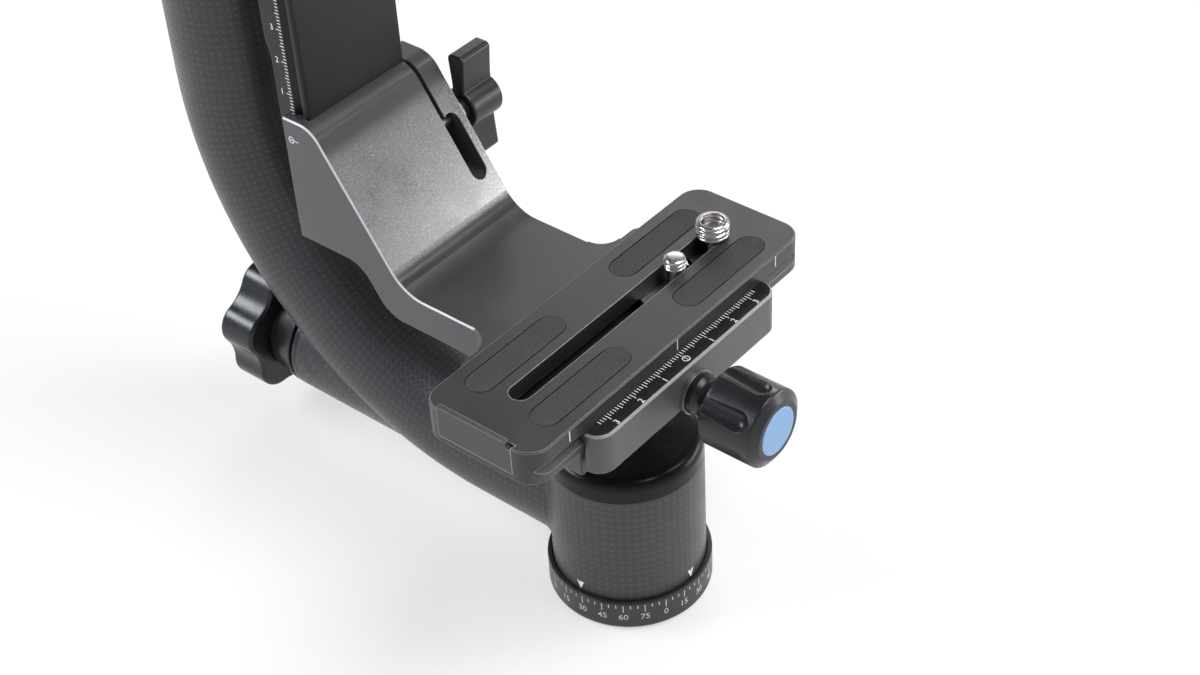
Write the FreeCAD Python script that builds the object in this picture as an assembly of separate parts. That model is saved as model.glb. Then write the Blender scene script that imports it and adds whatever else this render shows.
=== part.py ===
import FreeCAD, Part
import math
import os

# Gimbal tripod head with a carbon L-arm. Millimetres, +Z up.
# The origin is on the pan axis, at the face that rests on the tripod.
# The arm rises on the -X side, and the camera plate lies over the origin, long along Y.

V = FreeCAD.Vector

# ---- driving dimensions ----

# clearances
slideGap = 0.05        # sliding faces, running shafts and threads
glueGap = 0.03         # bonded or pressed seats
seamGap = 0.3          # seam between a turning and a fixed casing
jointLine = 0.2        # visible line between two casings that are screwed together
sealGap = 0.4          # room under a turning rim
edgeBreak = 0.45       # chamfer on machined edges
smallRound = 0.6

# fasteners
m3Radius = 1.5
m3HeadRadius = 2.0
m4Radius = 1.95
m5Radius = 2.45
m5HeadRadius = 4.25
m5HeadHeight = 5.0
screwCount = 3

# pan base
ringRadius = 24.0
ringHeight = 10.0
ringFloor = 4.0        # thickness under the spindle flange
ringFoot = 1.5         # rounding of the ring's lower edge
drumRadius = 22.35
drumBottom = 9.0
drumTop = 47.9
drumWall = 2.35
capHeight = 6.7
capRound = 3.3
capWall = 2.5
socketRadius = 4.0     # bore of the 3/8-16 thread
socketDepth = 12.0
bushRadius = 7.0
bushRoof = 1.0
bushFlangeRadius = 9.5
bushFlangeThick = 1.6
spindleFlange = 20.6
flangeThick = 3.5
shaftRadius = 8.5
baseScrewCircle = 14.0

# ball bearings 17 x 30 x 7
bearingOuter = 15.0
bearingWidth = 7.0
ballRadius = 2.2
ballCount = 10
raceHalfGap = 0.85
cageHalfThick = 0.5
cageSetBack = 0.8
brakeDrumRadius = 11.0
lowerBearing = 14.0    # height of the lower bearing's underside
upperBearing = 38.0
shoulderDepth = 1.6    # step that each outer race rests on
washerRadius = 12.0
washerThick = 1.0
nutFlats = 21.0
panNutThick = 4.0
tiltNutThick = 3.2

# carbon arm
tubeRadius = 18.3
tubeWall = 2.5
armHeight = 29.4       # centre line of the level run
armReach = 139.7       # from the pan axis to the upright's centre line
bendRadius = 95.6
armBlend = 4.0
tiltHeight = 208.0
housingLength = 37.6
bearingInset = 3.5     # from the housing's inner end to the bearing
bearingOutset = 1.5    # from the housing's outer end to the bearing

# pan and tilt locks
lockBossStep = 2.8     # the boss is this much slimmer than the tube
lockBossInset = 20.7   # from the upright's centre line to the boss face
lockBossRun = 60.0     # how far the boss reaches back into the bend
lockFlangeThick = 2.2
lockScrewRadius = 4.0
lockRodRadius = 2.5
lockPitch = 1.25       # travel of the screw in one turn
insertRadius = 9.0
insertLength = 18.0
shoeRadius = 5.0
shoeBack = 19.5        # distance of the shoe's outer end from the pan axis
padRadius = 6.0
padThick = 1.8
capNeck = 3.0          # length of the tilt end cap's neck
knobLobes = 6
knobCrest = 21.7
knobValley = 18.5
lobeRound = 7.5
firstLobe = 162.0      # direction of one lobe, from +Y towards +Z
headThick = 13.7
headRound = 1.2
dishRadius = 10.0
dishDepth = 0.8
knobNeckRadius = 12.5
knobNeckLength = 0.94
hubTipRadius = 14.0
waistRadius = 12.5
waistLength = 1.3
panHubLength = 9.3
tiltHubLength = 3.0
knobEndWall = 4.0      # solid end of a knob behind its screw

# swing hub and rail
hubRadius = 24.0
hubNeckRadius = 19.5
hubDisc = 8.6
hubCone = 4.0
tiltFlange = 18.5
tiltFlangeThick = 4.0
hubScrewCircle = 14.5
hubScrewLength = 8.8
railFront = -87.7
railBack = -98.8
railUpperBack = -100.2
railNear = -21.0
railFar = 16.5
railBottom = 97.0
jogLow = 152.0
jogHigh = 156.7
grooveBack = -92.9
grooveFront = -89.6
railRound = 1.0
railBoltHalf = 9.0
boltBite = 3.0         # from the hub's disc to the end of a rail bolt
stopHeadRadius = 3.5
stopHeadHeight = 2.0
stopLength = 6.0
lowerStop = 104.0
cradleTravel = 70.0

# cradle bracket
cradleHalf = 24.05
cradleBack = -95.2
cradleTop = 135.4
cradleFoot = 95.4
platformTop = 92.6
platformBottom = 81.6
slopeAngle = 56.3
slopeTopX = -84.4      # where the slope meets the top face
slopeFootX = -72.1     # where the underside's slope meets the foot
slopeTopRound = 8.0
slopeFootRound = 13.0
underTopRound = 9.0
underFootRound = 10.0
slitFrom = 15.6
slitTo = 17.0
pocketFar = 21.3
pocketLow = 103.7
pocketHigh = 121.2

# clamp
blockBack = -23.9
blockFront = 18.1
blockHalf = 38.5
blockBottom = 76.5
blockRound = 3.5
flareRound = 6.2
jawThick = 5.7
jawBottom = 79.1
jawRound = 5.0
jawChamfer = 0.6
sideGap = 0.25         # between the plate's sides and the clamp's walls
clampAxis = 82.3
clampBoreEnd = 2.0     # inner end of the blind bores
clampScrewEnd = 45.0
clampWasherRadius = 6.4
clampWasherThick = 1.2
guidePinRadius = 2.0
guidePinY = 22.0
guidePinStart = 4.0
guidePinCover = 1.0

# clamp knob
clampKnobRadius = 11.2
clampKnobBack = 34.3
clampKnobFace = 52.0
clampCollar = 6.0
clampStem = 4.9
neckRound = 2.2
clampCollarLength = 1.6
clampNeckRun = 3.4      # from the knob's inner face to the slim part of its neck
clampFlare = 2.4       # length over which the neck widens into the body
clampFaceBevel = 1.7
clampFlutes = 6
fluteRadius = 3.2
fluteShallow = 1.2     # flute depth at the back of the knob
fluteDeep = 2.2        # flute depth where it ends near the face
fluteEnd = 48.8
firstFlute = 144.0
faceRim = 8.4
discRadius = 6.95
discProud = 0.1
discSeat = 0.8

# wing knob
wingX = -78.6
wingZ = 116.7
wingSpan = 17.5
wingTip = 3.0
wingWaist = 2.2
wingHub = 6.2
wingShoulder = 0.45     # height of the wing's narrowest part, as a share of its span
wingTipRound = 1.6
wingWaistRound = 9.0
wingStart = 27.0
wingEnd = 39.0
wingNeck = 3.8
wingWasherRadius = 4.6
wingWasherThick = 0.9
wingScrewStart = 3.0
wingCover = 3.0

# camera plate
plateLength = 116.0
plateWidth = 38.4
plateShift = 0.8       # how far the plate's centre lies off the clamp's centre
plateBottom = 86.0
plateTop = 96.8
plateCorner = 6.5
plateEdge = 0.35
slabThick = 4.6
dovetailDepth = 1.8
slotWidth = 6.6
slotNear = -43.5
slotFar = 45.5
pocketWidth = 15.0
pocketDepth = 5.4
pocketNear = -50.0
pocketEnd = 51.0
padWidth = 8.6
padOffset = 10.95
padInner = 11.5
padOuter = 47.5
padRecess = 0.9
padProud = 0.2
padGap = 0.2
stopLow = -13.5
stopHigh = 10.0
stopNotch = 12.1
stopNotchDepth = 0.8
stopThick = 1.6
stopFlare = 0.5
stopFoot = 2.0
stopProud = 0.9
safetyScrewY = 52.0
safetyHeadHeight = 1.8
safetyDepth = 4.8

# camera screws, placed from the plate's centre
quarterY = 24.0
quarterRadius = 3.175
quarterTop = 100.2
quarterThread = 3.4
largeY = 41.2
largeRadius = 4.7625
largeTop = 102.1
largeThread = 4.8
adapterHollow = 2.2    # depth of the open thread above the inner screw
neckRadius = 2.2
headRadius = 6.8
headHeight = 2.2
headLift = 0.5
coinSlot = 1.5
slotWasherThick = 2.2
slotWasherGap = 0.2
washerTail = 12.0      # reach of the longer washer from its screw towards -Y


# ---- helpers ----

def rod(radius, start, end):
    """Cylinder between two points."""
    axis = V(*end) - V(*start)
    return Part.makeCylinder(radius, axis.Length, V(*start), axis)


def pipe(outer, inner, start, end):
    return rod(outer, start, end).cut(rod(inner, start, end))


def block(low, high):
    size = V(*high) - V(*low)
    return Part.makeBox(size.x, size.y, size.z, V(*low))


def roundedFace(corners):
    """Face inside a closed outline. Each corner is (point, rounding radius)."""
    edges = []
    tips = []
    for index, (place, radius) in enumerate(corners):
        if radius == 0:
            tips.append((place, place, place))
            continue
        before = corners[index - 1][0] - place
        after = corners[(index + 1) % len(corners)][0] - place
        before.normalize()
        after.normalize()
        half = before.getAngle(after) / 2
        inward = before + after
        inward.normalize()
        reach = radius / math.tan(half)
        nearest = radius / math.sin(half) - radius
        tips.append((place + before * reach, place + inward * nearest, place + after * reach))
    for index, (start, middle, end) in enumerate(tips):
        if (start - end).Length > 1e-6:
            edges.append(Part.Arc(start, middle, end).toShape())
        following = tips[(index + 1) % len(tips)][0]
        if (following - end).Length > 1e-6:
            edges.append(Part.LineSegment(end, following).toShape())
    return Part.Face(Part.Wire(edges))


def outline(points, placed):
    """Corners of a profile. Each point is (a, b) or (a, b, rounding)."""
    return [(placed(point[0], point[1]), point[2] if len(point) > 2 else 0) for point in points]


def sideProfile(points, low, high):
    """Outline in X and Z, extruded along Y."""
    return roundedFace(outline(points, lambda x, z: V(x, low, z))).extrude(V(0, high - low, 0))


def planProfile(points, low, high):
    """Outline in X and Y, extruded along Z."""
    return roundedFace(outline(points, lambda x, y: V(x, y, low))).extrude(V(0, 0, high - low))


def frontProfile(points, low, high):
    """Outline in Y and Z, extruded along X."""
    return roundedFace(outline(points, lambda y, z: V(low, y, z))).extrude(V(high - low, 0, 0))


def turnedZ(points):
    """Turned piece on the pan axis. Each point is (height, radius[, rounding])."""
    face = roundedFace(outline(points, lambda height, radius: V(radius, 0, height)))
    return face.revolve(V(0, 0, 0), V(0, 0, 1), 360)


def turnedX(points, height):
    """Turned piece on an axis along X at y = 0. Each point is (x, radius[, rounding])."""
    face = roundedFace(outline(points, lambda x, radius: V(x, 0, height + radius)))
    return face.revolve(V(0, 0, height), V(1, 0, 0), 360)


def turnedTilt(points):
    return turnedX(points, tiltHeight)


def obround(x, y, halfWidth, halfLength, low, high):
    """Upright block with round ends, long along Y."""
    straight = halfLength - halfWidth
    body = block((x - halfWidth, y - straight, low), (x + halfWidth, y + straight, high))
    for end in (-straight, straight):
        body = body.fuse(rod(halfWidth, (x, y + end, low), (x, y + end, high)))
    return body.removeSplitter()


def around(count, radius, firstAngle=90):
    """Places on a circle about an axis, as pairs."""
    places = []
    for index in range(count):
        angle = math.radians(firstAngle + 360 * index / count)
        places.append((radius * math.cos(angle), radius * math.sin(angle)))
    return places


def hexagon(a, b, flats, rounding=0):
    """Outline of a hexagon around a centre, by its width across flats."""
    return [(a + da, b + db, rounding) for da, db in around(6, flats / math.sqrt(3))]


def edgesWhere(shape, test):
    """Edges whose two ends and middle all pass a test."""
    found = []
    for edge in shape.Edges:
        middle = edge.valueAt((edge.FirstParameter + edge.LastParameter) / 2)
        places = [vertex.Point for vertex in edge.Vertexes] + [middle]
        if all(test(place) for place in places):
            found.append(edge)
    return found


def near(value, target):
    return abs(value - target) < 1e-4


def upright(a, b, along):
    return V(a, b, along)


def towardsTilt(a, b, along):
    return V(along, a, tiltHeight + b)


def countersunk(radius, placed, low, length, places, gap=0):
    """Countersunk screws with their heads at low, or their holes when a gap is given."""
    axis = placed(0, 0, 1) - placed(0, 0, 0)
    screws = []
    for a, b in places:
        head = Part.makeCone(2 * radius + gap, radius + gap, radius, placed(a, b, low), axis)
        shank = Part.makeCylinder(radius + gap, length + gap, placed(a, b, low), axis)
        screw = head.fuse(shank)
        if gap:
            screw = screw.fuse(Part.makeCylinder(2 * radius + gap, radius, placed(a, b, low - radius), axis))
        screws.append(screw.removeSplitter())
    return screws


def save(name, solids):
    """Writes one node. A list holds the separate solids of a group."""
    shape = Part.makeCompound(solids) if isinstance(solids, list) else solids
    shape.exportStep("parts/" + name + ".step")


# ---- ball bearing, made with the turning function of its axis ----

raceCircle = (shaftRadius + bearingOuter) / 2
trackRadius = ballRadius + slideGap


def bearing(turned, placed, low):
    """Inner race, outer race, cage and balls of a bearing that starts at low."""
    high = low + bearingWidth
    middle = (low + high) / 2
    axis = placed(0, 0, 1) - placed(0, 0, 0)
    track = Part.makeTorus(raceCircle, trackRadius, placed(0, 0, middle), axis)
    bore = shaftRadius + glueGap
    innerRim = raceCircle - raceHalfGap
    outerRim = raceCircle + raceHalfGap
    inner = turned([(low, bore), (low, innerRim), (high, innerRim), (high, bore)]).cut(track)
    outer = turned([(low, outerRim), (low, bearingOuter), (high, bearingOuter), (high, outerRim)]).cut(track)
    cage = turned([
        (low + cageSetBack, raceCircle - cageHalfThick), (low + cageSetBack, raceCircle + cageHalfThick),
        (high - cageSetBack, raceCircle + cageHalfThick), (high - cageSetBack, raceCircle - cageHalfThick)])
    balls = []
    pockets = []
    for a, b in around(ballCount, raceCircle):
        balls.append(Part.makeSphere(ballRadius, placed(a, b, middle)))
        pockets.append(rod(trackRadius, placed(0.5 * a, 0.5 * b, middle), placed(1.5 * a, 1.5 * b, middle)))
    return inner, outer, cage.cut(pockets), balls


# ---- pan base: stays on the tripod ----

spindleBoss = raceCircle - raceHalfGap - sealGap
flangeTop = ringFloor + flangeThick
bushTop = socketDepth + bushRoof
sleeveLow = lowerBearing + bearingWidth
panWasherLow = upperBearing + bearingWidth
panNutLow = panWasherLow + washerThick
spindleTop = panNutLow + panNutThick + jointLine
baseScrewPlaces = around(screwCount, baseScrewCircle)


def makeScaleRing():
    step = drumBottom - sealGap
    ring = turnedZ([
        (0, bushFlangeRadius + slideGap), (bushFlangeThick + slideGap, bushFlangeRadius + slideGap),
        (bushFlangeThick + slideGap, bushRadius + slideGap), (ringFloor, bushRadius + slideGap),
        (ringFloor, spindleFlange + slideGap), (step, spindleFlange + slideGap),
        (step, drumRadius + seamGap), (ringHeight, drumRadius + seamGap),
        (ringHeight, ringRadius, edgeBreak), (0, ringRadius, ringFoot)])
    holes = countersunk(m4Radius, upright, slideGap, ringFloor, baseScrewPlaces, slideGap)
    return ring.cut(holes)


def makeThreadBush():
    return turnedZ([
        (0, socketRadius), (0, bushFlangeRadius), (bushFlangeThick, bushFlangeRadius),
        (bushFlangeThick, bushRadius), (bushTop, bushRadius), (bushTop, 0),
        (socketDepth, 0), (socketDepth, socketRadius)])


def makePanSpindle():
    bore = bushRadius + slideGap
    spindle = turnedZ([
        (ringFloor, bore), (ringFloor, spindleFlange), (flangeTop, spindleFlange, edgeBreak),
        (flangeTop, spindleBoss), (lowerBearing, spindleBoss), (lowerBearing, shaftRadius),
        (spindleTop, shaftRadius, smallRound), (spindleTop, 0), (bushTop + slideGap, 0),
        (bushTop + slideGap, bore)])
    holes = [rod(m4Radius + glueGap, (a, b, 0), (a, b, flangeTop + 1)) for a, b in baseScrewPlaces]
    return spindle.cut(holes)


def makePanNut():
    nut = planProfile(hexagon(0, 0, nutFlats, smallRound), panNutLow, panNutLow + panNutThick)
    return nut.cut(rod(shaftRadius + glueGap, (0, 0, panNutLow - 1), (0, 0, spindleTop + 1)))


panLower = bearing(turnedZ, upright, lowerBearing)
panUpper = bearing(turnedZ, upright, upperBearing)
baseScrewLength = flangeTop - seamGap

os.makedirs("parts", exist_ok=True)
save("scale_ring", makeScaleRing())
save("thread_bush", makeThreadBush())
save("pan_spindle", makePanSpindle())
save("base_screws", countersunk(m4Radius, upright, slideGap, baseScrewLength, baseScrewPlaces))
save("pan_brake_sleeve", pipe(brakeDrumRadius, shaftRadius + glueGap,
                              (0, 0, sleeveLow), (0, 0, upperBearing)))
save("pan_inner_races", [panLower[0], panUpper[0]])
save("pan_outer_races", [panLower[1], panUpper[1]])
save("pan_bearing_cages", [panLower[2], panUpper[2]])
save("pan_bearing_balls", panLower[3] + panUpper[3])
save("pan_washer", pipe(washerRadius, shaftRadius + slideGap, (0, 0, panWasherLow), (0, 0, panNutLow)))
save("pan_nut", makePanNut())


# ---- carbon arm: turns on the pan base ----

bendX = bendRadius - armReach
bendZ = armHeight + bendRadius
housingInner = -armReach + housingLength / 2
housingOuter = -armReach - housingLength / 2
liningRadius = drumRadius - drumWall
lockBossRadius = tubeRadius - lockBossStep
lockFace = -(armReach - lockBossInset)
lockBossStart = lockFace + lockBossRun
flangeFace = lockFace - lockFlangeThick


def armPath(radius):
    """Round bar along the arm: level run, quarter bend and upright."""
    level = rod(radius, (0, 0, armHeight), (bendX, 0, armHeight))
    section = Part.Face(Part.Wire(Part.makeCircle(radius, V(bendX, 0, armHeight), V(1, 0, 0))))
    bend = section.revolve(V(bendX, 0, bendZ), V(0, 1, 0), 90)
    post = rod(radius, (-armReach, 0, bendZ), (-armReach, 0, tiltHeight))
    return level.fuse([bend, post]).removeSplitter()


def atRoot(place):
    """True where the tube leaves the drum or meets the upper housing."""
    onDrum = near(math.hypot(place.x, place.y), drumRadius) and place.x < 0
    onHousing = near(math.hypot(place.y, place.z - tiltHeight), drumRadius)
    nearTube = math.hypot(place.y, place.z - armHeight) < tubeRadius + 1
    nearPost = math.hypot(place.x + armReach, place.y) < tubeRadius + 1
    return (onDrum and nearTube) or (onHousing and nearPost)


def makeArmShell():
    # the drum and the housing start longer than they end, so that the blends can run out over them
    spare = tubeRadius
    wide = 2 * drumRadius
    drum = rod(drumRadius, (0, 0, drumBottom - spare), (0, 0, drumTop + spare))
    housing = rod(drumRadius, (housingOuter - spare, 0, tiltHeight), (housingInner + spare, 0, tiltHeight))
    shell = armPath(tubeRadius).fuse([drum, housing]).removeSplitter()
    shell = shell.makeFillet(armBlend, edgesWhere(shell, atRoot))
    shell = shell.cut([
        block((-wide, -wide, drumTop), (wide, wide, drumTop + wide)),
        block((-wide, -wide, drumBottom - wide), (wide, wide, drumBottom)),
        block((housingOuter - wide, -wide, tiltHeight - wide), (housingOuter, wide, tiltHeight + wide)),
        block((housingInner, -wide, tiltHeight - wide), (housingInner + wide, wide, tiltHeight + wide))])
    shell = shell.fuse(rod(lockBossRadius, (lockFace, 0, armHeight), (lockBossStart, 0, armHeight)))
    hollow = armPath(tubeRadius - tubeWall).fuse([
        rod(liningRadius, (0, 0, 0), (0, 0, drumTop + 1)),
        rod(liningRadius, (housingOuter - 1, 0, tiltHeight), (housingInner + 1, 0, tiltHeight)),
        rod(lockBossRadius - tubeWall, (lockFace, 0, armHeight), (lockBossStart, 0, armHeight))])
    plugEnd = lockFace + insertLength + 1
    shell = shell.cut(hollow).fuse(rod(lockBossRadius, (lockFace, 0, armHeight), (plugEnd, 0, armHeight)))
    spotFace = rod(lockBossRadius + smallRound, (lockFace - wide, 0, armHeight), (lockFace, 0, armHeight))
    bore = rod(insertRadius + glueGap, (lockFace - 1, 0, armHeight), (plugEnd + 1, 0, armHeight))
    # the blend at the drum stops above the scale ring, which the arm turns over
    overRing = pipe(wide, drumRadius, (0, 0, drumBottom - 1), (0, 0, ringHeight + seamGap))
    return shell.cut([spotFace, bore, overRing]).removeSplitter()


def makeDrumLiner():
    seat = bearingOuter + glueGap
    shoulder = bearingOuter - shoulderDepth
    low = drumBottom + jointLine
    high = panWasherLow + jointLine
    liner = turnedZ([
        (low, seat), (low, liningRadius - glueGap), (high, liningRadius - glueGap), (high, seat),
        (upperBearing, seat), (upperBearing, shoulder), (sleeveLow, shoulder), (sleeveLow, seat)])
    return liner.cut(rod(shoeRadius + slideGap, (-liningRadius - 1, 0, armHeight), (0, 0, armHeight)))


def makeDrumCap():
    low = drumTop + jointLine
    high = low + capHeight
    spigot = panWasherLow + 2 * jointLine
    roof = spindleTop + capWall / 2
    bore = liningRadius - capWall
    return turnedZ([
        (spigot, bore), (spigot, liningRadius - slideGap), (low, liningRadius - slideGap),
        (low, drumRadius), (high, drumRadius, capRound), (high, 0), (roof, 0), (roof, bore, 1.0)])


def makeLockInsert():
    end = lockFace + insertLength
    return turnedX([
        (flangeFace, lockScrewRadius), (flangeFace, lockBossRadius, edgeBreak), (lockFace, lockBossRadius),
        (lockFace, insertRadius), (end, insertRadius), (end, lockScrewRadius)], armHeight)


# tilt bearings in the upper housing
tiltInner = housingInner - bearingInset - bearingWidth
tiltOuter = housingOuter + bearingOutset
tiltNutFace = tiltOuter - washerThick
tiltShaftEnd = tiltNutFace - tiltNutThick
tiltCapLow = housingOuter - jointLine
tiltCapFace = tiltCapLow - capHeight
neckFace = tiltCapFace - capNeck
padFace = tiltShaftEnd - glueGap
padBack = padFace - padThick
padRoom = lockPitch + sealGap


def makeTiltLiner():
    seat = bearingOuter + glueGap
    shoulder = bearingOuter - shoulderDepth
    low = tiltOuter
    high = housingInner - jointLine
    return turnedTilt([
        (low, seat), (low, liningRadius - glueGap), (high, liningRadius - glueGap), (high, seat),
        (tiltInner, seat), (tiltInner, shoulder),
        (tiltOuter + bearingWidth, shoulder), (tiltOuter + bearingWidth, seat)])


def makeTiltEndCap():
    spigot = tiltOuter - jointLine
    roof = tiltShaftEnd - smallRound
    padWall = padBack - padRoom
    bore = liningRadius - capWall
    return turnedTilt([
        (spigot, bore), (spigot, liningRadius - slideGap), (tiltCapLow, liningRadius - slideGap),
        (tiltCapLow, drumRadius), (tiltCapFace, drumRadius, capRound),
        (tiltCapFace, lockBossRadius, smallRound), (neckFace, lockBossRadius, edgeBreak),
        (neckFace, lockScrewRadius), (padWall, lockScrewRadius), (padWall, padRadius + slideGap),
        (roof, padRadius + slideGap), (roof, bore)])


tiltInnerBearing = bearing(turnedTilt, towardsTilt, tiltInner)
tiltOuterBearing = bearing(turnedTilt, towardsTilt, tiltOuter)

save("arm_shell", makeArmShell())
save("drum_liner", makeDrumLiner())
save("drum_cap", makeDrumCap())
save("lock_insert", makeLockInsert())
save("tilt_liner", makeTiltLiner())
save("tilt_end_cap", makeTiltEndCap())
save("tilt_outer_races", [tiltInnerBearing[1], tiltOuterBearing[1]])


# ---- pan and tilt locks: a lobed knob turns a screw that pushes a brake ----

def lobedPrism(low, high, height):
    """Prism along X whose outline is a ring of round lobes with round flutes between."""
    half = math.pi / knobLobes
    lobeCentre = knobCrest - lobeRound
    spread = lobeCentre ** 2 + knobValley ** 2 - 2 * lobeCentre * knobValley * math.cos(half)
    flute = (spread - lobeRound ** 2) / (2 * (lobeRound - knobValley + lobeCentre * math.cos(half)))
    fluteCentre = knobValley + flute

    def at(radius, angle):
        return V(low, radius * math.cos(angle), height + radius * math.sin(angle))

    def touch(lobe, side):
        """Point where the lobe at an angle runs into the flute on one side of it."""
        centre = at(lobeCentre, lobe)
        direction = at(fluteCentre, lobe + side * half) - centre
        direction.normalize()
        return centre + direction * lobeRound

    edges = []
    for index in range(knobLobes):
        lobe = math.radians(firstLobe) + 2 * half * index
        lobeEnd = touch(lobe, 1)
        nextLobe = touch(lobe + 2 * half, -1)
        edges.append(Part.Arc(touch(lobe, -1), at(knobCrest, lobe), lobeEnd).toShape())
        edges.append(Part.Arc(lobeEnd, at(knobValley, lobe + half), nextLobe).toShape())
    return Part.Face(Part.Wire(edges)).extrude(V(high - low, 0, 0))


def makeLobedKnob(face, hubLength, height):
    """Neck, hub, waist and lobed head, from face outwards along -X."""
    hubStart = face - knobNeckLength
    waistStart = hubStart - hubLength
    headStart = waistStart - waistLength
    headEnd = headStart - headThick
    hub = turnedX([
        (face, 0), (face, knobNeckRadius), (hubStart, knobNeckRadius), (hubStart, lockBossRadius, edgeBreak),
        (waistStart, hubTipRadius, smallRound), (waistStart, waistRadius), (headStart, waistRadius),
        (headStart, 0)], height)
    head = lobedPrism(headEnd, headStart, height)
    head = head.makeFillet(headRound, edgesWhere(head, lambda p: near(p.x, headEnd) or near(p.x, headStart)))
    dish = rod(dishRadius, (headEnd - 1, 0, height), (headEnd + dishDepth, 0, height))
    bore = rod(lockScrewRadius, (face + 1, 0, height), (headEnd + knobEndWall, 0, height))
    return head.cut(dish).fuse(hub).removeSplitter().cut(bore)


def knobScrewEnd(face, hubLength):
    """X where the screw ends inside its knob."""
    return face - knobNeckLength - hubLength - waistLength - headThick + knobEndWall + slideGap


panKnobFace = flangeFace - slideGap
tiltKnobFace = neckFace - slideGap
screwRun = lockScrewRadius - slideGap
rodStep = lockFace + insertLength + boltBite
shoeEnd = -shoeBack

save("pan_brake_shoe", rod(shoeRadius, (shoeEnd, 0, armHeight), (0, 0, armHeight)).cut(
    rod(brakeDrumRadius + glueGap, (0, 0, 0), (0, 0, drumTop))))
save("pan_lock_rod", turnedX([
    (knobScrewEnd(panKnobFace, panHubLength), 0), (knobScrewEnd(panKnobFace, panHubLength), screwRun),
    (rodStep, screwRun, edgeBreak), (rodStep, lockRodRadius),
    (shoeEnd - glueGap, lockRodRadius, edgeBreak), (shoeEnd - glueGap, 0)], armHeight))
save("pan_lock_knob", makeLobedKnob(panKnobFace, panHubLength, armHeight))
save("tilt_brake_pad", rod(padRadius, (padBack, 0, tiltHeight), (padFace, 0, tiltHeight)))
save("tilt_lock_screw", rod(screwRun, (knobScrewEnd(tiltKnobFace, tiltHubLength), 0, tiltHeight),
                            (padBack - glueGap, 0, tiltHeight)))
save("tilt_lock_knob", makeLobedKnob(tiltKnobFace, tiltHubLength, tiltHeight))


# ---- swing: tilts in the upper housing and carries the rail ----

hubFace = housingInner + seamGap
hubSeat = hubFace + tiltFlangeThick
hubScrewLow = hubFace + seamGap
hubScrewPlaces = around(screwCount, hubScrewCircle)
railMiddle = (railNear + railFar) / 2
railHalf = (railFar - railNear) / 2
boltPlaces = [(railMiddle + side * railBoltHalf, tiltHeight + level * railBoltHalf)
              for side in (-1, 1) for level in (-1, 1)]
boltFace = railFront - jointLine
boltSeat = boltFace - m5HeadHeight
boltEnd = hubFace + hubDisc + boltBite
upperStop = cradleTop + cradleTravel + stopHeadRadius + slideGap


def makeSwingHub():
    coneEnd = hubFace + hubDisc + hubCone
    hub = turnedTilt([
        (hubFace, tiltFlange + slideGap), (hubFace, hubRadius, smallRound),
        (hubFace + hubDisc, hubRadius, 2 * smallRound), (coneEnd, hubNeckRadius, 2.0),
        (railUpperBack, hubNeckRadius), (railUpperBack, 0),
        (hubSeat, 0), (hubSeat, tiltFlange + slideGap)])
    bolts = [rod(m5Radius + slideGap, (boltEnd - 1, y, z), (railUpperBack + 1, y, z)) for y, z in boltPlaces]
    screws = countersunk(m4Radius, towardsTilt, hubScrewLow, hubScrewLength, hubScrewPlaces, glueGap)
    return hub.cut(bolts + screws)


def makeTiltSpindle():
    face = hubFace + jointLine
    spindle = turnedTilt([
        (hubSeat - glueGap, 0), (hubSeat - glueGap, tiltFlange), (face, tiltFlange, seamGap),
        (face, spindleBoss), (tiltInner + bearingWidth, spindleBoss),
        (tiltInner + bearingWidth, shaftRadius), (tiltShaftEnd, shaftRadius, smallRound), (tiltShaftEnd, 0)])
    holes = countersunk(m4Radius, towardsTilt, hubScrewLow, hubScrewLength, hubScrewPlaces, slideGap)
    return spindle.cut(holes)


def makeTiltNut():
    nut = frontProfile(hexagon(0, tiltHeight, nutFlats, smallRound), tiltShaftEnd, tiltNutFace)
    return nut.cut(rod(shaftRadius + glueGap, (tiltShaftEnd - 1, 0, tiltHeight), (tiltOuter, 0, tiltHeight)))


def makeSwingRail():
    depth = (grooveFront - grooveBack) / 2
    middle = (grooveFront + grooveBack) / 2
    top = tiltHeight + railHalf
    rail = planProfile([
        (railUpperBack, railNear), (grooveBack, railNear), (middle, railNear + depth),
        (grooveFront, railNear), (railFront, railNear, railRound), (railFront, railFar, railRound),
        (grooveFront, railFar), (middle, railFar - depth), (grooveBack, railFar),
        (railUpperBack, railFar)], railBottom, top)
    body = block((railUpperBack - 1, railNear, railBottom), (railFront + 1, railFar, tiltHeight))
    roundTop = rod(railHalf, (railUpperBack - 1, railMiddle, tiltHeight),
                   (railFront + 1, railMiddle, tiltHeight))
    side = sideProfile([
        (railBack, railBottom), (railFront, railBottom), (railFront, top),
        (railUpperBack, top), (railUpperBack, jogHigh), (railBack, jogLow)], railNear, railFar)
    rail = rail.common(roundTop.fuse(body)).common(side)
    holes = []
    for y, z in boltPlaces:
        holes.append(rod(m5Radius + slideGap, (railUpperBack - 1, y, z), (railFront + 1, y, z)))
        holes.append(rod(m5HeadRadius + slideGap, (boltSeat, y, z), (railFront + 1, y, z)))
    for z in (lowerStop, upperStop):
        hole = rod(m4Radius + glueGap, (railFront - stopLength - slideGap, railMiddle, z),
                   (railFront + 1, railMiddle, z))
        holes.append(hole)
    return rail.cut(holes)


def socketScrew(headSize, shankSize, seat, face, end, y, z, key):
    """Screw along X with a hexagon socket in its face."""
    head = rod(headSize, (seat, y, z), (face, y, z))
    socket = frontProfile(hexagon(y, z, key), (seat + face) / 2, face + 1)
    return head.cut(socket).fuse(rod(shankSize, (end, y, z), (seat, y, z))).removeSplitter()


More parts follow.
